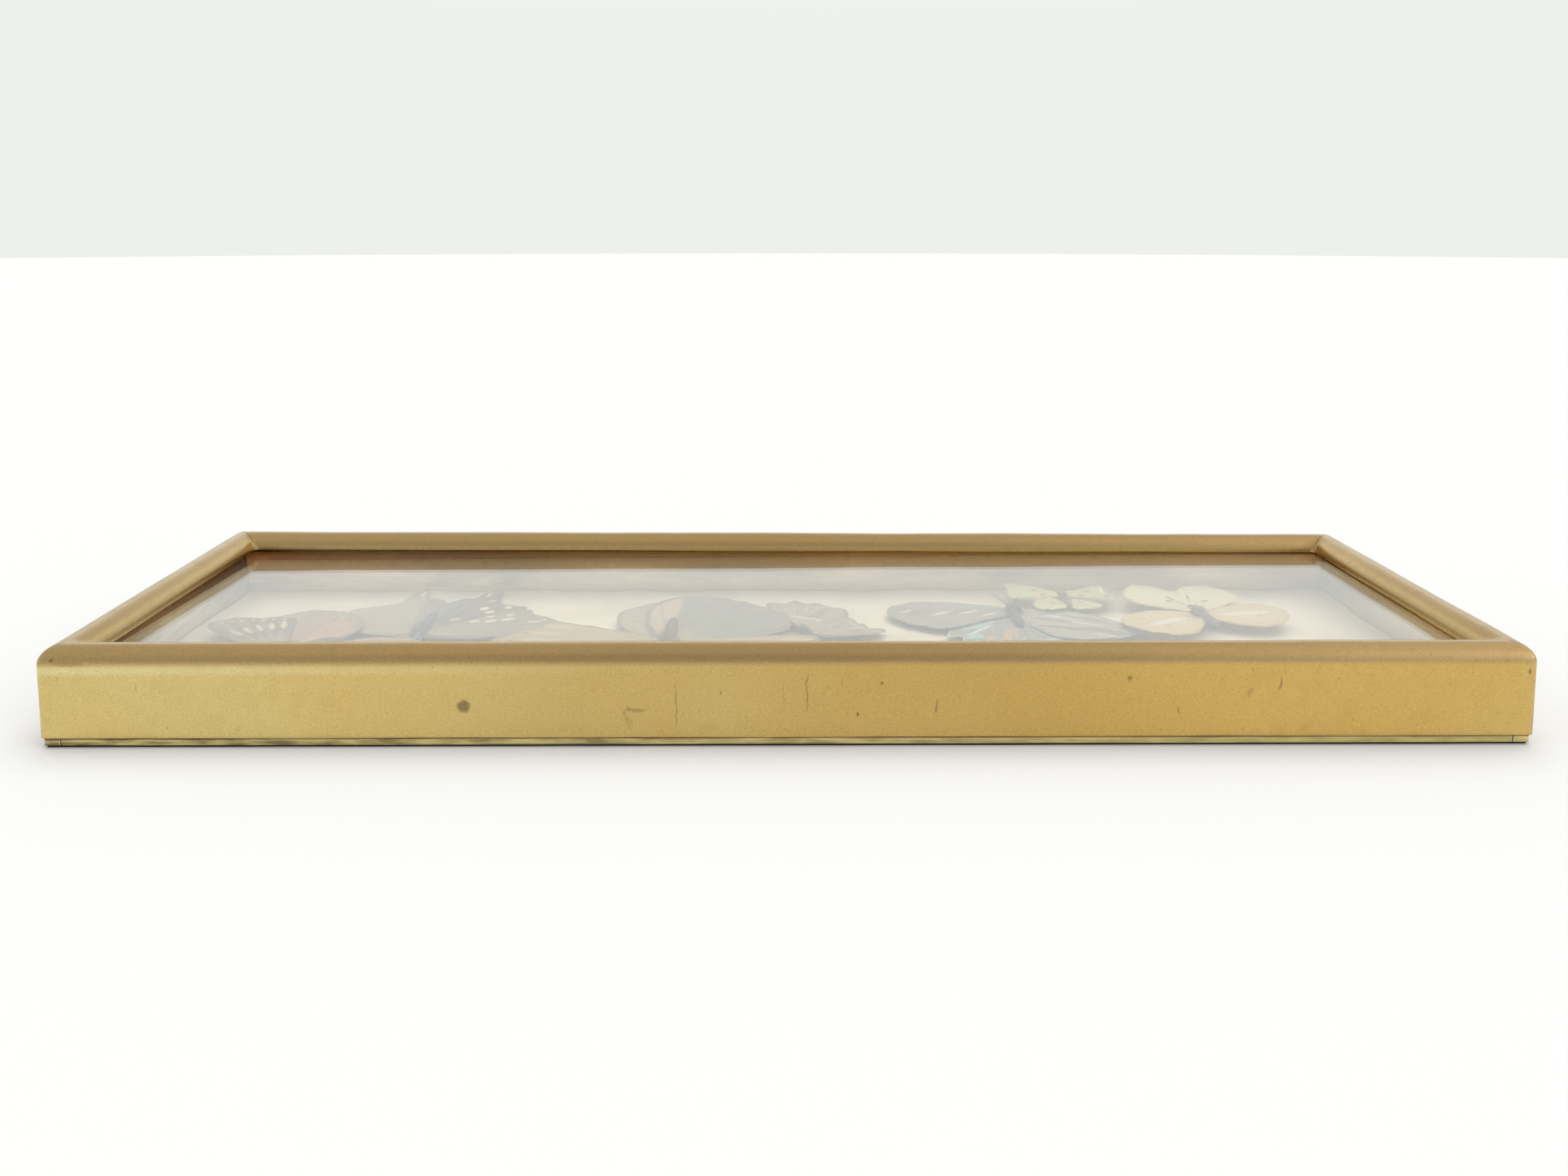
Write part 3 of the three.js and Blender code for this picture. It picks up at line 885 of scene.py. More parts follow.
@dataclass
class Tray:
    """Brass strips that carry the glass, a pale board for the floor and a dark sheet underneath."""

    wall_lean: float = 1.6 * MM
    wall_edge: float = 0.25 * MM
    board_division: float = 2.6 * MM
    cockle: float = 1.5 * MM
    cockle_reach: float = 14 * MM
    cockle_mm: float = 17
    board_body: float = 2 * MM
    cut_waver: float = 0.5 * MM
    cut_mm: float = 21
    walls: Finish = field(default_factory=DrawnBrass)
    lining: Finish = DrawnBrass("pale_gilt_lining", bright="#e0d5b8", dull="#cbbb95")
    board: Finish = Card("ivory_mount_card", ground="#e8dec3", aged="#d2c199")
    backing: Finish = Card("dark_backing_card", ground="#2b2723", aged="#4a4036", fibre_length_mm=7)

    def build(self) -> list[bpy.types.Object]:
        """Builds the walls, the board and the backing.

        Returns:
            The six pieces.
        """
        walls = [self.wall(side) for side in ("front", "right", "back", "left")]
        return [*walls, self.floor(), self.underside()]

    def wall(self, side: str) -> bpy.types.Object:
        """Builds one wall: a strip whose outside leans in towards the glass."""
        low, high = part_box(f"tray_wall_{side}")
        strip = started(bpy.ops.mesh.primitive_cube_add, size=1)
        along = 0 if side in ("front", "back") else 1
        points = places(strip)
        top = points[:, 2] > 0
        points = np.array((low + high) / 2) + points * np.array(high - low)
        across = 1 - along
        outward = np.sign(points[:, across].mean())
        is_outer = points[:, across] * outward > np.abs(points[:, across]).mean()
        points[top & is_outer, across] -= outward * self.wall_lean
        if along == 1:
            points[top, along] -= np.sign(points[top, along]) * self.wall_lean
        move_to(strip, points)
        bevel = strip.modifiers.new("edges", "BEVEL")
        bevel.width = self.wall_edge
        bevel.segments = 2
        settle(strip)
        for finish in (self.walls, self.lining):
            strip.data.materials.append(finish.material())
        for face in strip.data.polygons:
            face.material_index = int(face.normal[across] * face.center[across] < 0)
        smooth_by_angle(strip, 35)
        return fix_on(strip, f"{side}_wall", "tray_brass", f"tray_wall_{side}")

    def sheet(self, node: str, division: float) -> bpy.types.Object:
        """Lays a fine grid over the top of a flat node."""
        low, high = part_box(node)
        size = high - low
        cuts = {"x_subdivisions": round(size.x / division), "y_subdivisions": round(size.y / division)}
        sheet = started(bpy.ops.mesh.primitive_grid_add, size=1, **cuts)
        points = places(sheet) * np.array((size.x, size.y, 1))
        points[:, 2] = high.z
        move_to(sheet, points)
        return sheet

    def floor(self) -> bpy.types.Object:
        """Builds the board, cockled where it meets the walls."""
        _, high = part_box("specimen_board")
        board = self.sheet("specimen_board", self.board_division)
        points = places(board)
        from_wall = np.minimum(high.x - np.abs(points[:, 0]), high.y - np.abs(points[:, 1]))
        edge = np.clip(1 - from_wall / self.cockle_reach, 0.04, 1) ** 1.5
        group = board.vertex_groups.new(name="edge")
        for index, weight in enumerate(edge):
            group.add([index], float(weight), "REPLACE")
        ripple = board.modifiers.new("cockle", "DISPLACE")
        ripple.texture = dents("card_cockle", self.cockle_mm)
        ripple.strength = self.cockle
        ripple.mid_level = 0.5
        ripple.direction = "Z"
        ripple.vertex_group = "edge"
        body = board.modifiers.new("body", "SOLIDIFY")
        body.thickness = self.board_body
        body.offset = -1
        settle(board)
        board.data.materials.append(self.board.material())
        smooth_by_angle(board, 40)
        return fix_on(board, "ivory_board", "ivory_card", "specimen_board")

    def underside(self) -> bpy.types.Object:
        """Builds the backing, a little uneven along its cut edges."""
        low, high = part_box("backing_sheet")
        backing = self.sheet("backing_sheet", 2 * self.board_division)
        waver = backing.modifiers.new("cut", "DISPLACE")
        waver.texture = dents("card_cut", self.cut_mm)
        waver.strength = self.cut_waver
        waver.direction = "Y"
        body = backing.modifiers.new("body", "SOLIDIFY")
        body.thickness = high.z - low.z
        body.offset = -1
        settle(backing)
        backing.data.materials.append(self.backing.material())
        smooth_by_angle(backing, 40)
        return fix_on(backing, "dark_backing", "dark_card", "backing_sheet")


@dataclass
class Glazing:
    """The flat pane under the lip."""

    ground_edge: float = 0.3 * MM
    clear: Finish = SheetGlass("clear_sheet_glass", clearness=1.0, dust=0.0)
    dusty: Finish = SheetGlass("dusty_sheet_glass", clearness=0.98, dust=0.03)

    def build(self) -> bpy.types.Object:
        """Builds the pane, with ground edges and a film of dust on top."""
        low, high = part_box("glass_pane")
        pane = started(bpy.ops.mesh.primitive_cube_add, size=1)
        with editing(pane):
            bpy.ops.transform.resize(value=high - low)
            bpy.ops.transform.translate(value=(low + high) / 2)
            bpy.ops.mesh.bevel(offset=self.ground_edge, segments=1)
        for finish in (self.clear, self.dusty):
            pane.data.materials.append(finish.material())
        for face in pane.data.polygons:
            face.material_index = int(face.normal.z > 0.9)
        return fix_on(pane, "glass_sheet", "clear_glass", "glass_pane")


class Side(Enum):
    """A side of an insect, seen from above with its head ahead."""

    RIGHT = -1
    LEFT = 1


class WingForm(Enum):
    """Wing outlines in shares of the wing's length: along the span, then towards the head."""

    LONG_FORE = (
        (0, 0.04), (0.3, 0.08), (0.65, 0.09), (0.92, 0.05), (1, -0.05), (0.95, -0.17),
        (0.8, -0.28), (0.66, -0.4), (0.58, -0.44), (0.33, -0.28), (0, -0.08),
    )
    BROAD_FORE = (
        (0, 0.04), (0.35, 0.14), (0.72, 0.16), (0.96, 0.07), (1, -0.05), (0.92, -0.2),
        (0.82, -0.32), (0.74, -0.42), (0.66, -0.44), (0.36, -0.28), (0, -0.09),
    )
    ROUND_FORE = (
        (0, 0.05), (0.3, 0.2), (0.62, 0.24), (0.9, 0.14), (1, -0.02), (0.93, -0.2),
        (0.76, -0.36), (0.55, -0.42), (0.28, -0.28), (0, -0.09),
    )
    ANGLED_FORE = (
        (0, 0.05), (0.35, 0.18), (0.75, 0.2), (0.98, 0.1), (1, -0.04), (0.86, -0.1),
        (0.84, -0.24), (0.76, -0.3), (0.74, -0.46), (0.6, -0.52), (0.3, -0.32), (0, -0.1),
    )
    HOOKED_FORE = (
        (0, 0.05), (0.3, 0.2), (0.65, 0.25), (0.92, 0.2), (1.03, 0.1), (0.94, -0.04),
        (0.86, -0.22), (0.76, -0.42), (0.62, -0.5), (0.3, -0.32), (0, -0.1),
    )
    ROUND_HIND = (
        (0, 0.07), (0.3, 0.3), (0.62, 0.36), (0.9, 0.22), (1, -0.04), (0.92, -0.3),
        (0.7, -0.48), (0.42, -0.46), (0.15, -0.26), (0, -0.08),
    )
    TAILED_HIND = (
        (0, 0.07), (0.26, 0.36), (0.6, 0.44), (0.84, 0.3), (0.92, 0.12), (0.88, -0.06), (0.94, -0.2),
        (1.12, -0.34), (1.14, -0.42), (1.04, -0.44), (0.84, -0.36), (0.72, -0.44), (0.4, -0.38),
        (0.12, -0.22), (0, -0.08),
    )
    BROAD_HIND = (
        (0, 0.08), (0.26, 0.4), (0.6, 0.56), (0.86, 0.42), (0.98, 0.16), (1, -0.1), (0.94, -0.34),
        (0.78, -0.52), (0.5, -0.5), (0.2, -0.3), (0, -0.09),
    )
    SCALLOPED_HIND = (
        (0, 0.08), (0.28, 0.34), (0.58, 0.44), (0.8, 0.4), (0.82, 0.26), (0.95, 0.16), (0.92, 0.04),
        (1.04, -0.08), (0.96, -0.2), (0.98, -0.34), (0.82, -0.38), (0.74, -0.5), (0.44, -0.46),
        (0.16, -0.28), (0, -0.08),
    )
    FRINGED_HIND = (
        (0, 0.08), (0.3, 0.34), (0.66, 0.4), (0.84, 0.24), (0.98, 0.16), (0.9, 0.04), (1.06, -0.08),
        (0.92, -0.16), (1.02, -0.3), (0.8, -0.32), (0.74, -0.46), (0.44, -0.44), (0.16, -0.28), (0, -0.08),
    )


@dataclass
class Wing:
    """One spread wing, as a thin pleated membrane. Lengths are in mm, angles in degrees."""

    form: WingForm
    length: float
    angle: float
    side: Side
    root: Point
    rise: float
    finish: WingScales
    seed: int
    rings: int = 30
    rays: int = 120
    thickness: float = 0.14
    pleat: float = 0.16
    camber: float = 0.35
    curl: float = 0.35
    ruffle: float = 0.12
    fray: float = 0.35
    nick_depth: float = 0.03
    nick_width: float = 0.006

    def build(self) -> bpy.types.Object:
        """Builds the wing in the specimen's own frame."""
        wing = started(
            bpy.ops.mesh.primitive_grid_add, size=1, x_subdivisions=self.rings, y_subdivisions=self.rays
        )
        grid = places(wing)
        reach, round_rim = grid[:, 0] + 0.5, grid[:, 1] + 0.5
        outline = smooth_line(self.form.value, 24)
        steps = np.linalg.norm(np.diff(outline, axis=0), axis=1)
        run = np.concatenate([[0], np.cumsum(steps)]) / steps.sum()
        rim = np.stack([np.interp(round_rim, run, outline[:, axis]) for axis in (0, 1)], axis=1)
        rim *= 1 - self.frayed(round_rim)[:, None]
        flat = rim * reach[:, None]
        gaps = np.linalg.norm(flat[:, None, :] - outline[None, ::4, :], axis=2).min(axis=1)
        points = np.zeros_like(grid)
        points[:, 0] = flat[:, 0] * self.length
        points[:, 1] = -self.side.value * flat[:, 1] * self.length
        points[:, 2] = self.relief(reach, round_rim)
        for name, values in {
            "wing_place": np.column_stack([flat, np.zeros(len(flat))]),
            "wing_reach": np.column_stack([reach, round_rim, gaps * self.length]),
        }.items():
            layer = wing.data.attributes.new(name, "FLOAT_VECTOR", "POINT")
            layer.data.foreach_set("vector", values.ravel())
        move_to(wing, points * MM)
        with editing(wing):
            bpy.ops.mesh.remove_doubles(threshold=0.01 * MM)
            bpy.ops.mesh.normals_make_consistent(inside=False)
        body = wing.modifiers.new("membrane", "SOLIDIFY")
        body.thickness = self.thickness * MM
        body.offset = 0
        settle(wing)
        swing = (
            Matrix.Translation((self.root[0] * MM, 0, self.root[1] * MM))
            @ Matrix.Rotation(self.side.value * math.radians(self.angle), 4, "Z")
            @ Matrix.Rotation(-math.radians(self.rise), 4, "Y")
        )
        wing.data.transform(swing)
        wing.data.materials.append(self.finish.material())
        return wing

    def frayed(self, round_rim: np.ndarray) -> np.ndarray:
        """Gives how much of the wing's length has worn off its rim, all the way round."""
        chance = np.random.default_rng(self.seed)
        phases = chance.uniform(0, 2 * math.pi, 6)
        waves = sum(np.sin(2 * math.pi * n * round_rim + p) for n, p in zip((7, 11, 17, 23, 31, 41), phases))
        wear = np.clip(waves / 3, 0, 1) * self.fray / self.length
        for nick in chance.uniform(0.25, 0.75, 2):
            wear += self.nick_depth * np.exp(-(((round_rim - nick) / self.nick_width) ** 2))
        return wear

    def relief(self, reach: np.ndarray, round_rim: np.ndarray) -> np.ndarray:
        """Gives the membrane's height in mm: pleats between the veins, a camber and a curling rim."""
        chance = np.random.default_rng(self.seed + 100)
        phase = chance.uniform(0, 2 * math.pi, 2)
        pleats = -self.pleat * np.abs(np.sin(math.pi * round_rim * self.finish.vein_count)) * reach
        camber = self.camber * np.sin(math.pi * np.clip(reach, 0, 1))
        curl = self.curl * reach**3 * np.sin(2 * math.pi * 2 * round_rim + phase[0])
        ruffle = self.ruffle * reach**4 * np.sin(2 * math.pi * 9 * round_rim + phase[1])
        return pleats + camber + curl + ruffle


@dataclass
class Rods:
    """Thin round threads, such as legs, feelers and hairs, made as one mesh."""

    finish: Finish
    roundness: int = 1
    threads: list[tuple[np.ndarray, np.ndarray]] = field(default_factory=list)

    def add(self, path: np.ndarray, radii: Sequence[float]) -> None:
        """Adds a thread along a path in mm, with the radii spread evenly along it."""
        spread = np.interp(np.linspace(0, 1, len(path)), np.linspace(0, 1, len(radii)), radii)
        self.threads.append((np.asarray(path) * MM, spread * MM))

    def build(self) -> bpy.types.Object:
        """Turns the threads into one mesh."""
        curve = bpy.data.curves.new("threads", "CURVE")
        curve.dimensions = "3D"
        curve.bevel_depth = 1.0
        curve.bevel_resolution = self.roundness
        curve.use_fill_caps = True
        curve.materials.append(self.finish.material())
        for path, radii in self.threads:
            spline = curve.splines.new("POLY")
            spline.points.add(len(path) - 1)
            spline.points.foreach_set("co", np.column_stack([path, np.ones(len(path))]).ravel())
            spline.points.foreach_set("radius", radii)
        threads = bpy.data.objects.new("threads", curve)
        bpy.context.scene.collection.objects.link(threads)
        pick_only(threads)
        bpy.ops.object.convert(target="MESH")
        return bpy.context.object


class Feeler(Enum):
    """How an antenna ends."""

    CLUB = (0.13, 0.12, 0.12, 0.12, 0.14, 0.34, 0.3)
    TAPER = (0.22, 0.24, 0.2, 0.16, 0.12, 0.09, 0.06)


@dataclass
class WingPair:
    """The fore or hind wings: outline, length in mm, and angles from the head, right then left."""

    form: WingForm
    length: float
    angles: tuple[float, float]
    finishes: tuple[WingScales, WingScales]


@dataclass
class Specimen:
    """One dried insect: wings, body, legs and feelers. Lengths are in mm, angles in degrees."""

    node: str
    slot: str
    thorax: Point
    heading: float
    height: float
    rise: float
    body_length: float
    body_radius: float
    feeler: float
    fore: WingPair
    hind: WingPair
    shell: Chitin
    fur: Chitin
    feeler_form: Feeler = Feeler.CLUB
    root_spacing: float = 1.6
    hind_drop: tuple[float, float] = (0.7, 0.7)
    hairs: int = 340
    seed: int = 1
    waist: float = 0.66
    leg_spacing: float = 1.9
    foot_gap: float = 0.2

    def build(self) -> bpy.types.Object:
        """Builds the specimen and lays it in its place."""
        parts = [*self.wings(), self.torso(), *self.eyes(), self.limbs(), self.pelt()]
        pick_only(*parts)
        bpy.ops.object.join()
        whole = bpy.context.object
        lie = Matrix.Translation((self.thorax[0] * MM, self.thorax[1] * MM, BOARD_TOP + self.height * MM))
        whole.data.transform(lie @ Matrix.Rotation(math.radians(self.heading), 4, "Z"))
        smooth_by_angle(whole, 50)
        return fix_on(whole, f"{self.node}_specimen", self.slot, self.node)

    def wings(self) -> list[bpy.types.Object]:
        """Builds the four wings."""
        wings = []
        for pair, ahead, drops in ((self.fore, 1, (0, 0)), (self.hind, -1, self.hind_drop)):
            for i, side in enumerate((Side.RIGHT, Side.LEFT)):
                seed = self.seed * 10 + len(wings)
                root = (ahead * self.root_spacing, -drops[i])
                wing = Wing(
                    pair.form, pair.length, pair.angles[i], side, root, self.rise, pair.finishes[i], seed
                )
                wings.append(wing.build())
        return wings

    def profile(self) -> list[tuple[float, float]]:
        """Gives the body's rings from tail to head: place and radius in mm, with a ringed abdomen."""
        rings = []
        segments = 7
        for i in range(segments):
            for step, girth in ((0.0, 0.88), (0.25, 1.0), (0.8, 1.0)):
                share = (i + step) / segments
                girth *= 0.3 + 0.56 * math.sin(math.pi * (0.12 + 0.66 * share))
                rings.append((0.015 + 0.46 * share, girth))
        rings += [(0.5, 0.55), (0.53, 0.72), (0.6, 1.0), (0.68, 1.04), (0.75, 0.92), (0.81, 0.52)]
        rings += [(0.84, 0.44), (0.87, 0.6), (0.92, 0.64), (0.97, 0.48), (0.995, 0.2)]
        return [((share - self.waist) * self.body_length, girth * self.body_radius) for share, girth in rings]

    def torso(self) -> bpy.types.Object:
        """Builds abdomen, thorax and head by drawing a ring along the body."""
        rings = self.profile()
        start, girth = rings[0]
        torso = started(
            bpy.ops.mesh.primitive_circle_add,
            vertices=14,
            radius=girth * MM,
            fill_type="NGON",
            location=(start * MM, 0, 0),
            rotation=(0, math.pi / 2, 0),
        )
        with editing(torso):
            for (here, girth), (there, next_girth) in zip(rings, rings[1:]):
                ahead = {"value": ((there - here) * MM, 0, 0)}
                bpy.ops.mesh.extrude_region_move(TRANSFORM_OT_translate=ahead)
                grow = next_girth / girth
                bpy.ops.transform.resize(value=(1, grow, grow), center_override=(there * MM, 0, 0))
            bpy.ops.mesh.select_all(action="SELECT")
            bpy.ops.mesh.normals_make_consistent(inside=False)
        rounder = torso.modifiers.new("rounder", "SUBSURF")
        rounder.levels = rounder.render_levels = 1
        settle(torso)
        torso.data.materials.append(self.shell.material())
        return torso

    def eyes(self) -> list[bpy.types.Object]:
        """Builds the two eyes on the sides of the head."""
        eyes = []
        glossy = Chitin("insect_eye", "#15110e", "#2a221c", roughness=0.2)
        for side in (-1, 1):
            girth = self.body_radius * MM
            place = (0.26 * self.body_length * MM, side * 0.5 * girth, 0.12 * girth)
            eye = started(
                bpy.ops.mesh.primitive_uv_sphere_add,
                segments=14,
                ring_count=8,
                radius=0.36 * girth,
                location=place,
            )
            eye.data.materials.append(glossy.material())
            eyes.append(eye)
        return eyes

    def limbs(self) -> bpy.types.Object:
        """Builds the legs, the feelers and the coiled tongue."""
        rods = Rods(self.shell)
        radius, ground = self.body_radius, self.foot_gap - self.height
        head = 0.28 * self.body_length
        for side in (-1, 1):
            for pair in (-1, 0, 1):
                x = pair * self.leg_spacing
                knees = [
                    (0.5 * x, side * 0.3 * radius, -0.4 * radius),
                    (x, side * (radius + 1.2), -0.5 * radius),
                    (1.6 * x, side * (radius + 2.2), ground + 0.25),
                    (2.0 * x + 0.3, side * (radius + 3.6), ground),
                ]
                rods.add(smooth_line(knees, 3), (0.3, 0.26, 0.18, 0.1))
            bend = [
                (head - 0.5, side * 0.2 * radius, 0.1),
                (head + 0.5 * self.feeler, side * 0.22 * self.feeler, 0.5),
                (head + self.feeler, side * 0.36 * self.feeler, 0.5),
            ]
            rods.add(smooth_line(bend, 10), self.feeler_form.value)
        turns = np.linspace(0, 3.2 * math.pi, 26)
        coil = 0.34 * radius * (1 - turns / (4.2 * math.pi))
        front = 0.34 * self.body_length
        ahead, up = front + coil * np.cos(turns), -0.3 * radius + coil * np.sin(turns)
        tongue = np.column_stack([ahead, 0 * turns, up])
        rods.add(tongue, (0.12, 0.09, 0.06))
        return rods.build()

    def pelt(self) -> bpy.types.Object:
        """Builds the hairs of the thorax and of the abdomen's sides."""
        chance = random.Random(self.seed)
        pelt = Rods(self.fur, roundness=0)
        length, radius = self.body_length, self.body_radius
        for _ in range(self.hairs):
            on_thorax = chance.random() < 0.75
            share = chance.uniform(0.52, 0.8) if on_thorax else chance.uniform(0.1, 0.5)
            girth = radius * (0.98 if on_thorax else 0.72)
            turn = chance.uniform(-0.25, math.pi + 0.25)
            out = np.array([0, math.cos(turn), math.sin(turn)])
            base = np.array([(share - self.waist) * length, 0, 0]) + out * girth * 0.92
            reach = radius * (chance.uniform(0.45, 0.85) if on_thorax else chance.uniform(0.2, 0.4))
            sweep = np.array([-chance.uniform(0.4, 1.1), chance.uniform(-0.25, 0.25), 0])
            path = [base, base + (out + 0.4 * sweep) * reach * 0.5, base + (0.75 * out + sweep) * reach]
            pelt.add(np.array(path), (0.07, 0.05, 0.015))
        return pelt.build()


# Heights of the wing roots over the board in mm, for specimens that lie under or over a neighbour
LOW, HIGH = 2.5, 4.5


def tiger() -> Specimen:
    """Describes the tiger butterfly: tan fore wings with dark streaks over rusty brown hind wings."""
    fore = WingScales(
        "tiger_fore_scales", 43, root="#94673c", ground="#9a7b56", edge="#7d6145",
        marbling="#4a3626", rim="#43332a", veins="#3d2d21",
        marks=(
            Mark("#33241a", fan((-33, 5), (0.34, 0.95), 5, 0.034)),
            Mark("#33241a", row((0.5, 0.05), (0.42, -0.22), 3, 0.045)),
            Mark("#d3c09a", fan((-30, 1), (0.5, 0.68), 5, 0.02)),
            Mark("#d9cbaa", row((0.94, -0.04), (0.63, -0.36), 7, 0.014)),
        ),
        marbling_amount=0.8, marbling_mm=2.4, fading=0.15,
    )
    hind = WingScales(
        "tiger_hind_scales", 40, root="#94602f", ground="#95694a", edge="#86624a",
        marbling="#6f5039", rim="#594030", veins="#634631",
        marks=(
            Mark("#ad7340", ((0.3, -0.22, 0.3, 0.12, -32.0), (0.5, -0.26, 0.2, 0.08, -30.0))),
            Mark("#cdb48c", row((0.92, 0.12), (0.72, -0.4), 8, 0.014)),
        ),
        marbling_amount=0.6, marbling_mm=3, rim_mm=1.2, vein_strength=0.75,
    )
    return Specimen(
        "tiger_butterfly", "tiger_wing", thorax=(-145, -18), heading=215, height=HIGH, rise=0,
        body_length=26, body_radius=2, feeler=15,
        fore=WingPair(WingForm.LONG_FORE, 43, (77, 96), (fore, fore)),
        hind=WingPair(WingForm.ROUND_HIND, 40, (109, 132), (hind, hind)),
        shell=Chitin("brown_shell", "#5a4734", "#85704f"),
        fur=Chitin("brown_fur", "#6a5238", "#94795a"),
        seed=1,
    )


def swallowtail() -> Specimen:
    """Describes the spotted swallowtail: slate round the body, one olive and one spotted hind wing."""
    fore = WingScales(
        "swallowtail_fore_scales", 44, root="#8b8980", ground="#6f685a", edge="#5c5548",
        marbling="#85806f", rim="#474136", veins="#4a453c",
        marks=(
            Mark("#efe6c8", ((0.38, -0.2, 0.04, 0.03, -20.0), (0.49, -0.19, 0.045, 0.028, -20.0))),
            Mark("#efe6c8", ((0.61, -0.22, 0.05, 0.03, -24.0), (0.49, -0.3, 0.035, 0.026, -30.0))),
            Mark("#e4dabb", ((0.63, -0.32, 0.04, 0.024, -34.0), (0.8, -0.14, 0.06, 0.018, -10.0))),
            Mark("#d8cfb2", row((0.93, -0.04), (0.84, -0.26), 4, 0.016)),
        ),
        vein_strength=0.8,
    )
    tail = Mark("#705539", ((1.06, -0.37, 0.15, 0.1, -28.0),))
    hook = Mark("#f3eee0", ((0.99, -0.36, 0.07, 0.016, -38.0),))
    olive = WingScales(
        "swallowtail_olive_scales", 41, root="#66737a", ground="#8f8a6c", edge="#96906f",
        marbling="#a39d7e", rim="#6b6350", veins="#75705a",
        marks=(Mark("#4c5d67", ((0.44, -0.29, 0.46, 0.17, -29.0),)), tail, hook),
        rim_mm=0.8, vein_strength=0.45,
    )
    spotted = WingScales(
        "swallowtail_spotted_scales", 41, root="#5b6a72", ground="#4a473c", edge="#3e3b33",
        marbling="#625e4e", rim="#332f28", veins="#34312a",
        marks=(
            Mark("#4c5d67", ((0.46, -0.3, 0.48, 0.17, -29.0),)),
            Mark("#efe6cb", ((0.7, -0.08, 0.05, 0.034, -24.0), (0.66, 0.03, 0.045, 0.032, 10.0))),
            Mark("#efe6cb", ((0.57, 0.13, 0.045, 0.034, 24.0), (0.84, 0.04, 0.035, 0.03, 0.0))),
            Mark("#e8dec0", ((0.74, 0.22, 0.035, 0.03, 30.0), (0.5, 0.24, 0.035, 0.03, 40.0))),
            Mark("#c4a67e", ((0.37, -0.03, 0.05, 0.04, 0.0), (0.9, -0.2, 0.035, 0.04, 0.0))),
            tail,
            hook,
        ),
        rim_mm=1.2, fading=0.15,
    )
    return Specimen(
        "spotted_swallowtail", "olive_wing", thorax=(-112, 4), heading=271, height=LOW, rise=0,
        body_length=29, body_radius=2.1, feeler=16,
        fore=WingPair(WingForm.BROAD_FORE, 44, (19, 100), (fore, fore)),
        hind=WingPair(WingForm.TAILED_HIND, 41, (146, 143), (olive, spotted)),
        shell=Chitin("slate_shell", "#55626a", "#79858a"),
        fur=Chitin("grey_fur", "#66727a", "#8b9596"),
        seed=2,
    )


def owl() -> Specimen:
    """Describes the owl butterfly: mustard fore wings, one teal hind wing and one marbled."""
    fore = WingScales(
        "owl_fore_scales", 52, root="#8f7b47", ground="#b09a5f", edge="#a38d58",
        marbling="#8f7846", rim="#6e5936", veins="#7d693f",
        marks=(
            Mark("#c9b680", fan((-26, 6), (0.62, 0.84), 4, 0.03)),
            Mark("#7d683f", row((0.93, 0.03), (0.76, -0.34), 6, 0.02)),
        ),
        marbling_mm=6, rim_mm=1.6,
    )
    marbled = WingScales(
        "owl_marbled_scales", 45, root="#96805f", ground="#b7a385", edge="#a8947a",
        marbling="#6f5b45", rim="#63503e", veins="#8a755c",
        marks=(
            Mark("#d9ccb0", row((0.82, 0.24), (0.74, -0.3), 6, 0.03)),
            Mark("#5f4b38", ((0.56, 0.2, 0.1, 0.09, 20.0),)),
            Mark("#d6c08c", ((0.56, 0.2, 0.065, 0.06, 20.0),)),
            Mark("#33291f", ((0.57, 0.2, 0.035, 0.035, 0.0),)),
        ),
        marbling_amount=0.8, marbling_mm=2.6, rim_mm=1.2,
    )
    teal = WingScales(
        "owl_teal_scales", 45, root="#b09a72", ground="#41605f", edge="#3d5a68",
        marbling="#2c4650", rim="#54483a", veins="#2f464e",
        marks=(
            Mark("#b7a385", ((0.55, -0.46, 0.6, 0.2, -24.0),)),
            Mark("#83908a", row((0.9, 0.24), (0.86, -0.2), 6, 0.014)),
        ),
        roughness=0.5, rim_mm=1.8,
    )
    return Specimen(
        "owl_butterfly", "owl_wing", thorax=(-35, -12), heading=270, height=HIGH, rise=1,
        body_length=34, body_radius=2.4, feeler=20,
        fore=WingPair(WingForm.BROAD_FORE, 52, (88, 68), (fore, fore)),
        hind=WingPair(WingForm.BROAD_HIND, 45, (193, 152), (marbled, teal)),
        shell=Chitin("umber_shell", "#54442f", "#836d4e"),
        fur=Chitin("tan_fur", "#80694a", "#a58e68"),
        hind_drop=(1.7, 0.6), seed=3,
    )


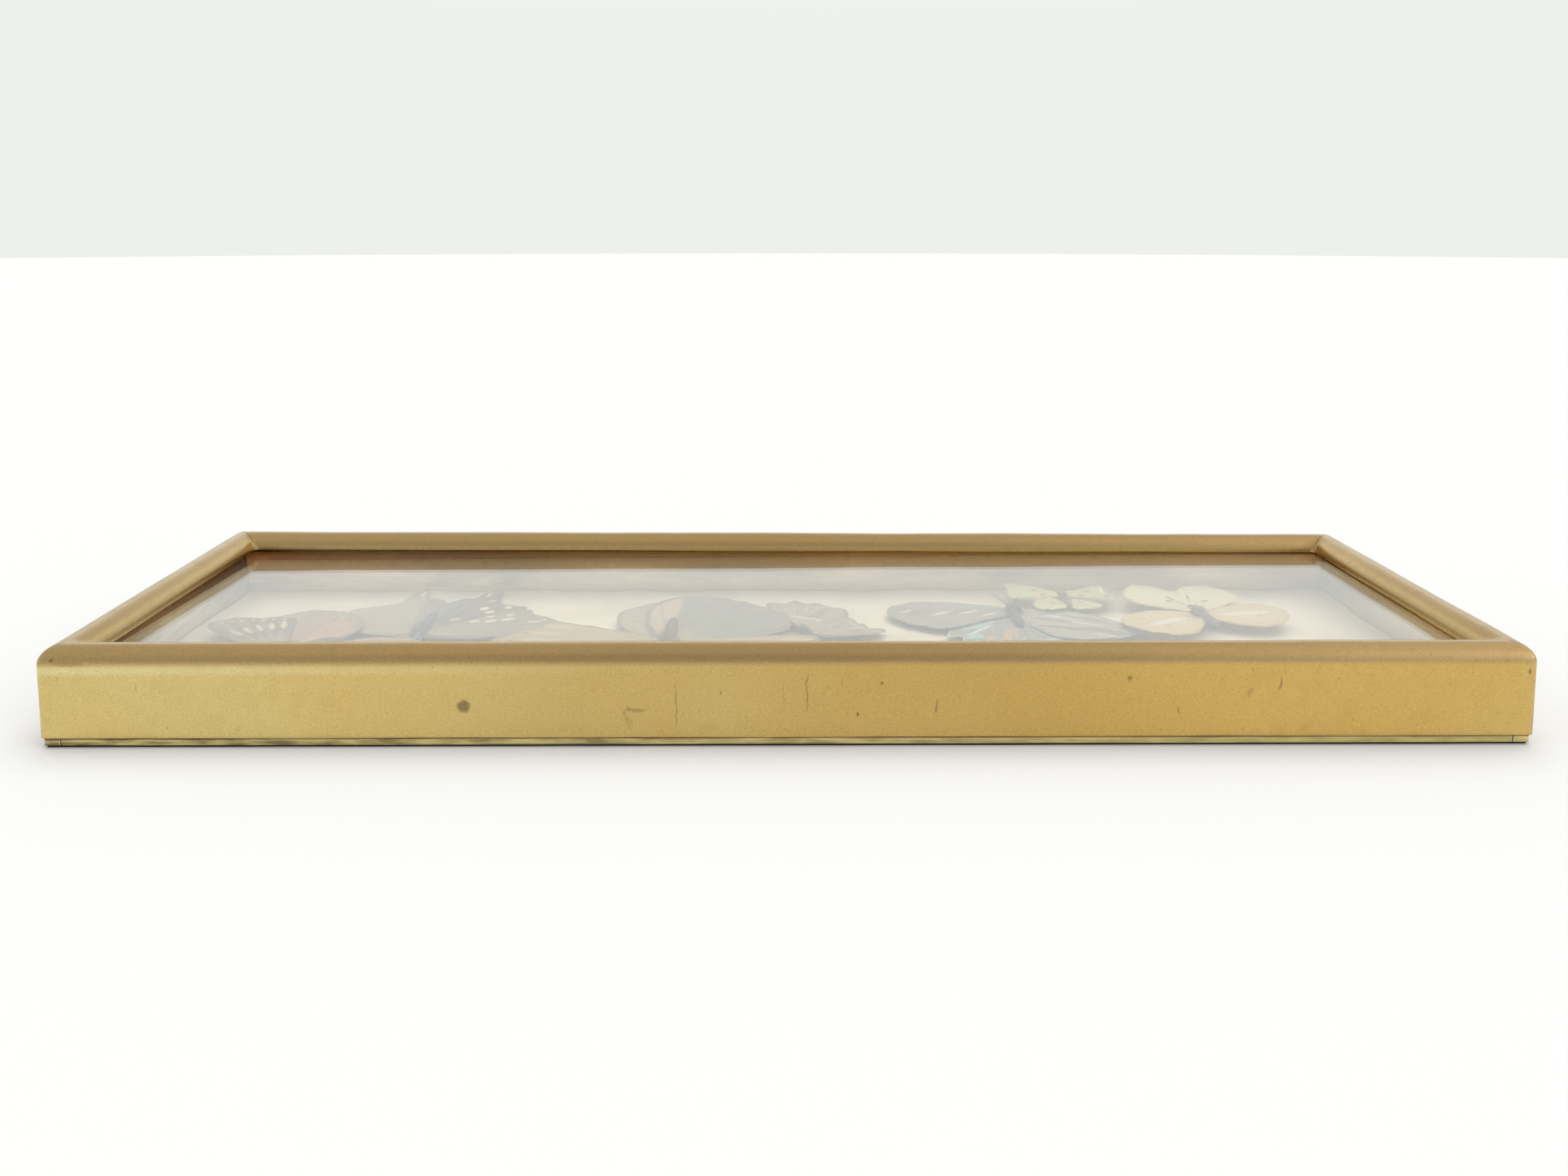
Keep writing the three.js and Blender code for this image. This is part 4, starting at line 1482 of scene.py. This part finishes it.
def scalloped() -> Specimen:
    """Describes the scalloped butterfly: mottled tan brown, with pale dots and fine pale lines."""
    fore = WingScales(
        "scalloped_fore_scales", 25, root="#7d6857", ground="#93806a", edge="#85715d",
        marbling="#b7a38a", rim="#5d4c3e", veins="#6d5b4b",
        marks=(
            Mark("#695443", ((0.62, 0.08, 0.12, 0.06, 20.0), (0.5, -0.16, 0.12, 0.05, -30.0))),
            Mark("#e2d7c2", row((0.84, 0.1), (0.68, -0.32), 5, 0.02)),
        ),
        marbling_amount=0.75, marbling_mm=1.8,
    )
    hind = WingScales(
        "scalloped_hind_scales", 34, root="#7f6a5a", ground="#96826d", edge="#86725f",
        marbling="#bba78f", rim="#5f4e40", veins="#705d4d",
        marks=(
            Mark("#6b5646", ((0.55, 0.16, 0.14, 0.06, 30.0), (0.55, -0.2, 0.14, 0.06, -30.0))),
            Mark("#f0e8d8", ((0.46, 0.02, 0.016, 0.13, 20.0), (0.4, 0.16, 0.014, 0.08, 50.0))),
            Mark("#e4d9c6", row((0.8, 0.26), (0.72, -0.36), 7, 0.019)),
        ),
        marbling_amount=0.75, marbling_mm=2, rim_mm=1.3,
    )
    return Specimen(
        "scalloped_butterfly", "brown_wing", thorax=(5, 4), heading=300, height=LOW, rise=-1,
        body_length=19, body_radius=1.6, feeler=12,
        fore=WingPair(WingForm.ANGLED_FORE, 25, (75, 74), (fore, fore)),
        hind=WingPair(WingForm.SCALLOPED_HIND, 34, (130, 148), (hind, hind)),
        shell=Chitin("drab_shell", "#4f4036", "#7b695a"),
        fur=Chitin("drab_fur", "#6d5a4b", "#9a8570"),
        hairs=280, seed=4,
    )


def sunset() -> Specimen:
    """Describes the sunset moth: slate fore wings with pale streaks, turquoise and orange hind wings."""
    fore = WingScales(
        "sunset_fore_scales", 41, root="#56656d", ground="#727d80", edge="#687376",
        marbling="#8b938f", rim="#333c41", veins="#47525a",
        marks=(
            Mark("#4c5a62", ((0.75, -0.04, 0.12, 0.05, -24.0), (0.47, -0.04, 0.11, 0.04, -24.0))),
            Mark("#e3e9e4", ((0.58, -0.07, 0.1, 0.017, -27.0), (0.37, -0.05, 0.09, 0.016, -24.0))),
            Mark("#dbe4e0", ((0.21, -0.1, 0.09, 0.015, -36.0), (0.86, -0.02, 0.06, 0.012, -40.0))),
        ),
        roughness=0.55, rim_mm=0.7,
    )
    banded = WingScales(
        "sunset_banded_scales", 41, root="#5b6a70", ground="#929a8d", edge="#848d82",
        marbling="#b0b5a4", rim="#4a5655", veins="#69746f",
        marks=(
            Mark("#33494c", ((0.8, -0.1, 0.2, 0.055, 8.0), (0.55, -0.2, 0.24, 0.03, 14.0))),
            Mark("#33494c", ((0.35, -0.08, 0.18, 0.028, 10.0), (0.6, 0.1, 0.22, 0.024, 4.0))),
            Mark("#e2e6da", ((0.62, -0.02, 0.12, 0.018, 8.0), (0.34, 0.02, 0.08, 0.014, 8.0))),
            Mark("#e2e6da", ((0.84, -0.2, 0.11, 0.016, 12.0),)),
        ),
        roughness=0.55, rim_mm=0.7,
    )
    hind = WingScales(
        "sunset_hind_scales", 31, root="#46565c", ground="#55767a", edge="#4e666a",
        marbling="#5f9aa0", rim="#d8dbd2", veins="#39474c",
        marks=(
            Mark("#7fc4c9", ((0.56, 0.14, 0.26, 0.1, 16.0), (0.84, -0.04, 0.08, 0.1, 0.0))),
            Mark("#e2efec", ((0.6, 0.26, 0.18, 0.022, 22.0), (0.66, 0.02, 0.22, 0.022, 4.0))),
            Mark("#b98d60", ((0.6, -0.3, 0.2, 0.07, -26.0), (0.8, -0.2, 0.06, 0.06, 0.0))),
            Mark("#39464a", row((0.76, 0.2), (0.62, -0.36), 5, 0.022)),
        ),
        roughness=0.5, rim_mm=0.5,
    )
    return Specimen(
        "sunset_moth", "sunset_wing", thorax=(73, 24), heading=88, height=LOW, rise=0,
        body_length=23, body_radius=2, feeler=12,
        fore=WingPair(WingForm.ROUND_FORE, 41, (121, 92), (banded, fore)),
        hind=WingPair(WingForm.FRINGED_HIND, 31, (156, 140), (hind, hind)),
        shell=Chitin("slate_blue_shell", "#404b51", "#66727a"),
        fur=Chitin("slate_fur", "#515d63", "#7f8b8e"),
        feeler_form=Feeler.TAPER, hind_drop=(1.0, 0.7), seed=5,
    )


def green() -> Specimen:
    """Describes the green butterfly: leaf green and yellow, with rusty spots and one dark wing tip."""
    spots = Mark("#82501f", ((0.5, 0.02, 0.065, 0.06, 0.0), (0.3, -0.12, 0.065, 0.06, 0.0)))
    glow = Mark("#dcc383", ((0.28, -0.1, 0.2, 0.1, -16.0),))
    fore = WingScales(
        "green_fore_scales", 20, root="#c2c06c", ground="#b4c468", edge="#b9c67a",
        marbling="#d0d894", rim="#8f9c58", veins="#98a862",
        marks=(glow, spots),
        rim_mm=0.3, vein_strength=0.4,
    )
    tipped = WingScales(
        "green_tipped_scales", 20, root="#c2c06c", ground="#b4c468", edge="#a9b57a",
        marbling="#d0d894", rim="#555b48", veins="#98a862",
        marks=(
            glow,
            spots,
            Mark("#545a4b", ((0.93, 0.02, 0.13, 0.24, -20.0), (0.7, -0.28, 0.12, 0.05, 40.0))),
            Mark("#eff1e4", ((0.78, 0.04, 0.03, 0.2, -24.0),)),
        ),
        rim_mm=0.5, vein_strength=0.4,
    )
    hind = WingScales(
        "green_hind_scales", 13, root="#c4c27a", ground="#c3cc82", edge="#bac680",
        marbling="#d6dda0", rim="#9ca66a", veins="#a2af74",
        marks=(Mark("#95602f", ((0.45, 0.02, 0.065, 0.055, 0.0),)),),
        rim_mm=0.3, vein_strength=0.4,
    )
    return Specimen(
        "green_butterfly", "green_wing", thorax=(91, 34), heading=92, height=HIGH, rise=1,
        body_length=14, body_radius=1.3, feeler=8,
        fore=WingPair(WingForm.HOOKED_FORE, 20, (74, 60), (tipped, fore)),
        hind=WingPair(WingForm.ROUND_HIND, 13, (126, 124), (hind, hind)),
        shell=Chitin("olive_shell", "#6a6444", "#938d62"),
        fur=Chitin("pale_fur", "#989668", "#bbb98e"),
        hairs=240, seed=6,
    )


def yellow() -> Specimen:
    """Describes the yellow butterfly: cream fore wings with a dot, deeper hind wings with a pale streak."""
    fore = WingScales(
        "yellow_fore_scales", 30, root="#c9b06a", ground="#e6dcae", edge="#e1d6a2",
        marbling="#efe8c8", rim="#bda566", veins="#c9b984",
        marks=(Mark("#2e261d", ((0.36, -0.06, 0.038, 0.038, 0.0),)),),
        rim_mm=0.5, vein_strength=0.4,
    )
    hind = WingScales(
        "yellow_hind_scales", 28, root="#b3975a", ground="#d9c27c", edge="#d2b86e",
        marbling="#e6d69c", rim="#ab9050", veins="#bba362",
        marks=(
            Mark("#f4edd6", ((0.5, -0.06, 0.28, 0.07, -8.0),)),
            Mark("#b0854a", ((0.62, -0.2, 0.03, 0.03, 0.0), (0.72, 0.12, 0.03, 0.03, 0.0))),
        ),
        rim_mm=0.6, vein_strength=0.4,
    )
    return Specimen(
        "yellow_butterfly", "yellow_wing", thorax=(130, 17), heading=98, height=HIGH, rise=1,
        body_length=20, body_radius=1.6, feeler=10,
        fore=WingPair(WingForm.ROUND_FORE, 30, (28, 14), (fore, fore)),
        hind=WingPair(WingForm.ROUND_HIND, 28, (85, 102), (hind, hind)),
        shell=Chitin("dun_shell", "#5d4e38", "#8d7a56"),
        fur=Chitin("straw_fur", "#8f7b50", "#b9a473"),
        hairs=280, seed=7,
    )


@dataclass
class Studio:
    """A pale table, soft light from all round and the camera at the photograph's place.

    The camera's turns are in degrees, and its focal length and frame are in the photograph's pixels.
    """

    camera_mm: Way = (-3.2, -350.6, 127.6)
    pitch: float = 16.45
    yaw: float = 0.36
    focal_px: float = 1726
    frame_px: float = 2212
    sensor: float = 36.0
    table_radius: float = 6.0
    horizon: float = 0.87
    window: float = 0.42
    zenith: float = 0.78
    wall_tone: str = "#fdfffb"
    ceiling_tone: str = "#fbf4ee"
    # Soft patches of the room: their middle, where they start and end in degrees, and their change
    glows: tuple[tuple[Way, float, float, float], ...] = (
        ((0.0, -1.0, 0.35), 15, 52, -0.28),
        ((0.8, -0.6, 0.35), 10, 40, 0.5),
        ((0.9, -0.1, 0.5), 15, 60, 0.45),
    )
    lamps: tuple[tuple[str, Way, float], ...] = (
        ("left_window", (-1.6, 0.1, 0.75), 0.45),
        ("right_window", (1.5, -0.9, 0.5), 0.45),
        ("skylight", (0.2, 0.4, 2.0), 1.8),
    )
    lamp_spread: float = 60
    # Heights in the room, as the upward share of a direction
    wall_end: Point = (0.14, 0.28)
    window_end: Point = (0.54, 0.42)
    ceiling_start: Point = (0.35, 0.85)
    window_way: Way = (0, 1, 0.36)
    window_spread: Point = (25, 38)
    table: Finish = field(default_factory=Cloth)

    def build(self) -> None:
        """Lays the table, hangs the lights and sets up the camera."""
        self.floor()
        self.sky()
        for lamp in self.lamps:
            self.lamp(*lamp)
        self.camera()
        bpy.context.scene.view_settings.view_transform = "Standard"

    def floor(self) -> None:
        """Lays the white table."""
        floor = started(
            bpy.ops.mesh.primitive_circle_add, vertices=96, radius=self.table_radius, fill_type="NGON"
        )
        floor.name = "table"
        floor.data.materials.append(self.table.material())

    def sky(self) -> None:
        """Lights the room: white walls, a dim camera side and a broad window that the glass mirrors."""
        world = bpy.data.worlds.new("soft_room")
        world.use_nodes = True
        bpy.context.scene.world = world
        tree = world.node_tree
        add = partial(add_node, tree)
        way = add("TexCoord")["Generated"]
        height = add("SeparateXYZ", {0: way})["Z"]
        above, below, overhead = (
            add("MapRange", {0: height, 1: start, 2: end}, interpolation_type="SMOOTHSTEP")[0]
            for start, end in (self.wall_end, self.window_end, self.ceiling_start)
        )
        strength = add("Mix", {0: above, 2: self.horizon, 3: self.zenith}, data_type="FLOAT")[0]
        for toward, inner, outer, change in self.glows:
            share = self.lobe(add, way, toward, inner, outer, change)
            share = add("Math", {0: share, 1: above}, operation="MULTIPLY")[0]
            strength = add("Math", {0: strength, 1: share, 2: strength}, operation="MULTIPLY_ADD")[0]
        pane = self.lobe(add, way, self.window_way, *self.window_spread, self.window)
        for edge in (above, below):
            pane = add("Math", {0: pane, 1: edge}, operation="MULTIPLY")[0]
        strength = add("Math", {0: strength, 1: pane}, operation="ADD")[0]
        tone = {0: overhead, 6: linear(self.wall_tone), 7: linear(self.ceiling_tone)}
        colour = add("Mix", tone, data_type="RGBA")[2]
        feed(tree, tree.nodes["Background"], {"Color": colour, "Strength": strength})

    @staticmethod
    def lobe(
        add: Any, way: bpy.types.NodeSocket, toward: Way, inner: float, outer: float, change: float
    ) -> bpy.types.NodeSocket:
        """Adds the nodes of a soft round patch of the room.

        Args:
            add: adds a node to the world.
            way: the direction of sight.
            toward: the patch's middle.
            inner: the angle up to which the patch is full, in degrees.
            outer: the angle at which it ends, in degrees.
            change: the value inside the patch.

        Returns:
            The patch's value over the room.
        """
        near = add("VectorMath", {0: way, 1: Vector(toward).normalized()}, operation="DOT_PRODUCT")["Value"]
        edge = {0: near, 1: math.cos(math.radians(outer)), 2: math.cos(math.radians(inner)), 4: change}
        return add("MapRange", edge, interpolation_type="SMOOTHSTEP")[0]

    def lamp(self, name: str, place: Way, strength: float) -> None:
        """Shines a wide, soft light from the direction of this place, which the brass doesn't mirror.

        Args:
            name: the lamp's name.
            place: where it stands, seen from the case.
            strength: how strong it is.
        """
        bpy.ops.object.light_add(type="SUN", location=place)
        lamp = bpy.context.object
        lamp.name = name
        lamp.rotation_euler = Vector(place).to_track_quat("Z", "Y").to_euler()
        lamp.data.angle = math.radians(self.lamp_spread)
        lamp.data.energy = strength
        lamp.visible_glossy = False

    def camera(self) -> None:
        """Sets up the camera."""
        bpy.ops.object.camera_add(location=Vector(self.camera_mm) * MM)
        camera = bpy.context.object
        camera.rotation_euler = Euler((math.radians(90 - self.pitch), 0, -math.radians(self.yaw)))
        camera.data.sensor_width = self.sensor
        camera.data.lens = self.sensor * self.focal_px / self.frame_px
        camera.data.clip_start = 0.01
        bpy.context.scene.camera = camera


def main() -> None:
    """Builds the case piece by piece."""
    logging.basicConfig(level=logging.INFO, format="%(name)s %(message)s")
    Studio().build()
    pieces = [*Cover().build(), *Tray().build(), Glazing().build()]
    for specimen in (tiger(), swallowtail(), owl(), scalloped(), sunset(), green(), yellow()):
        pieces.append(specimen.build())
    LOG.info("%d pieces", len(pieces))


if __name__ == "__main__":
    main()
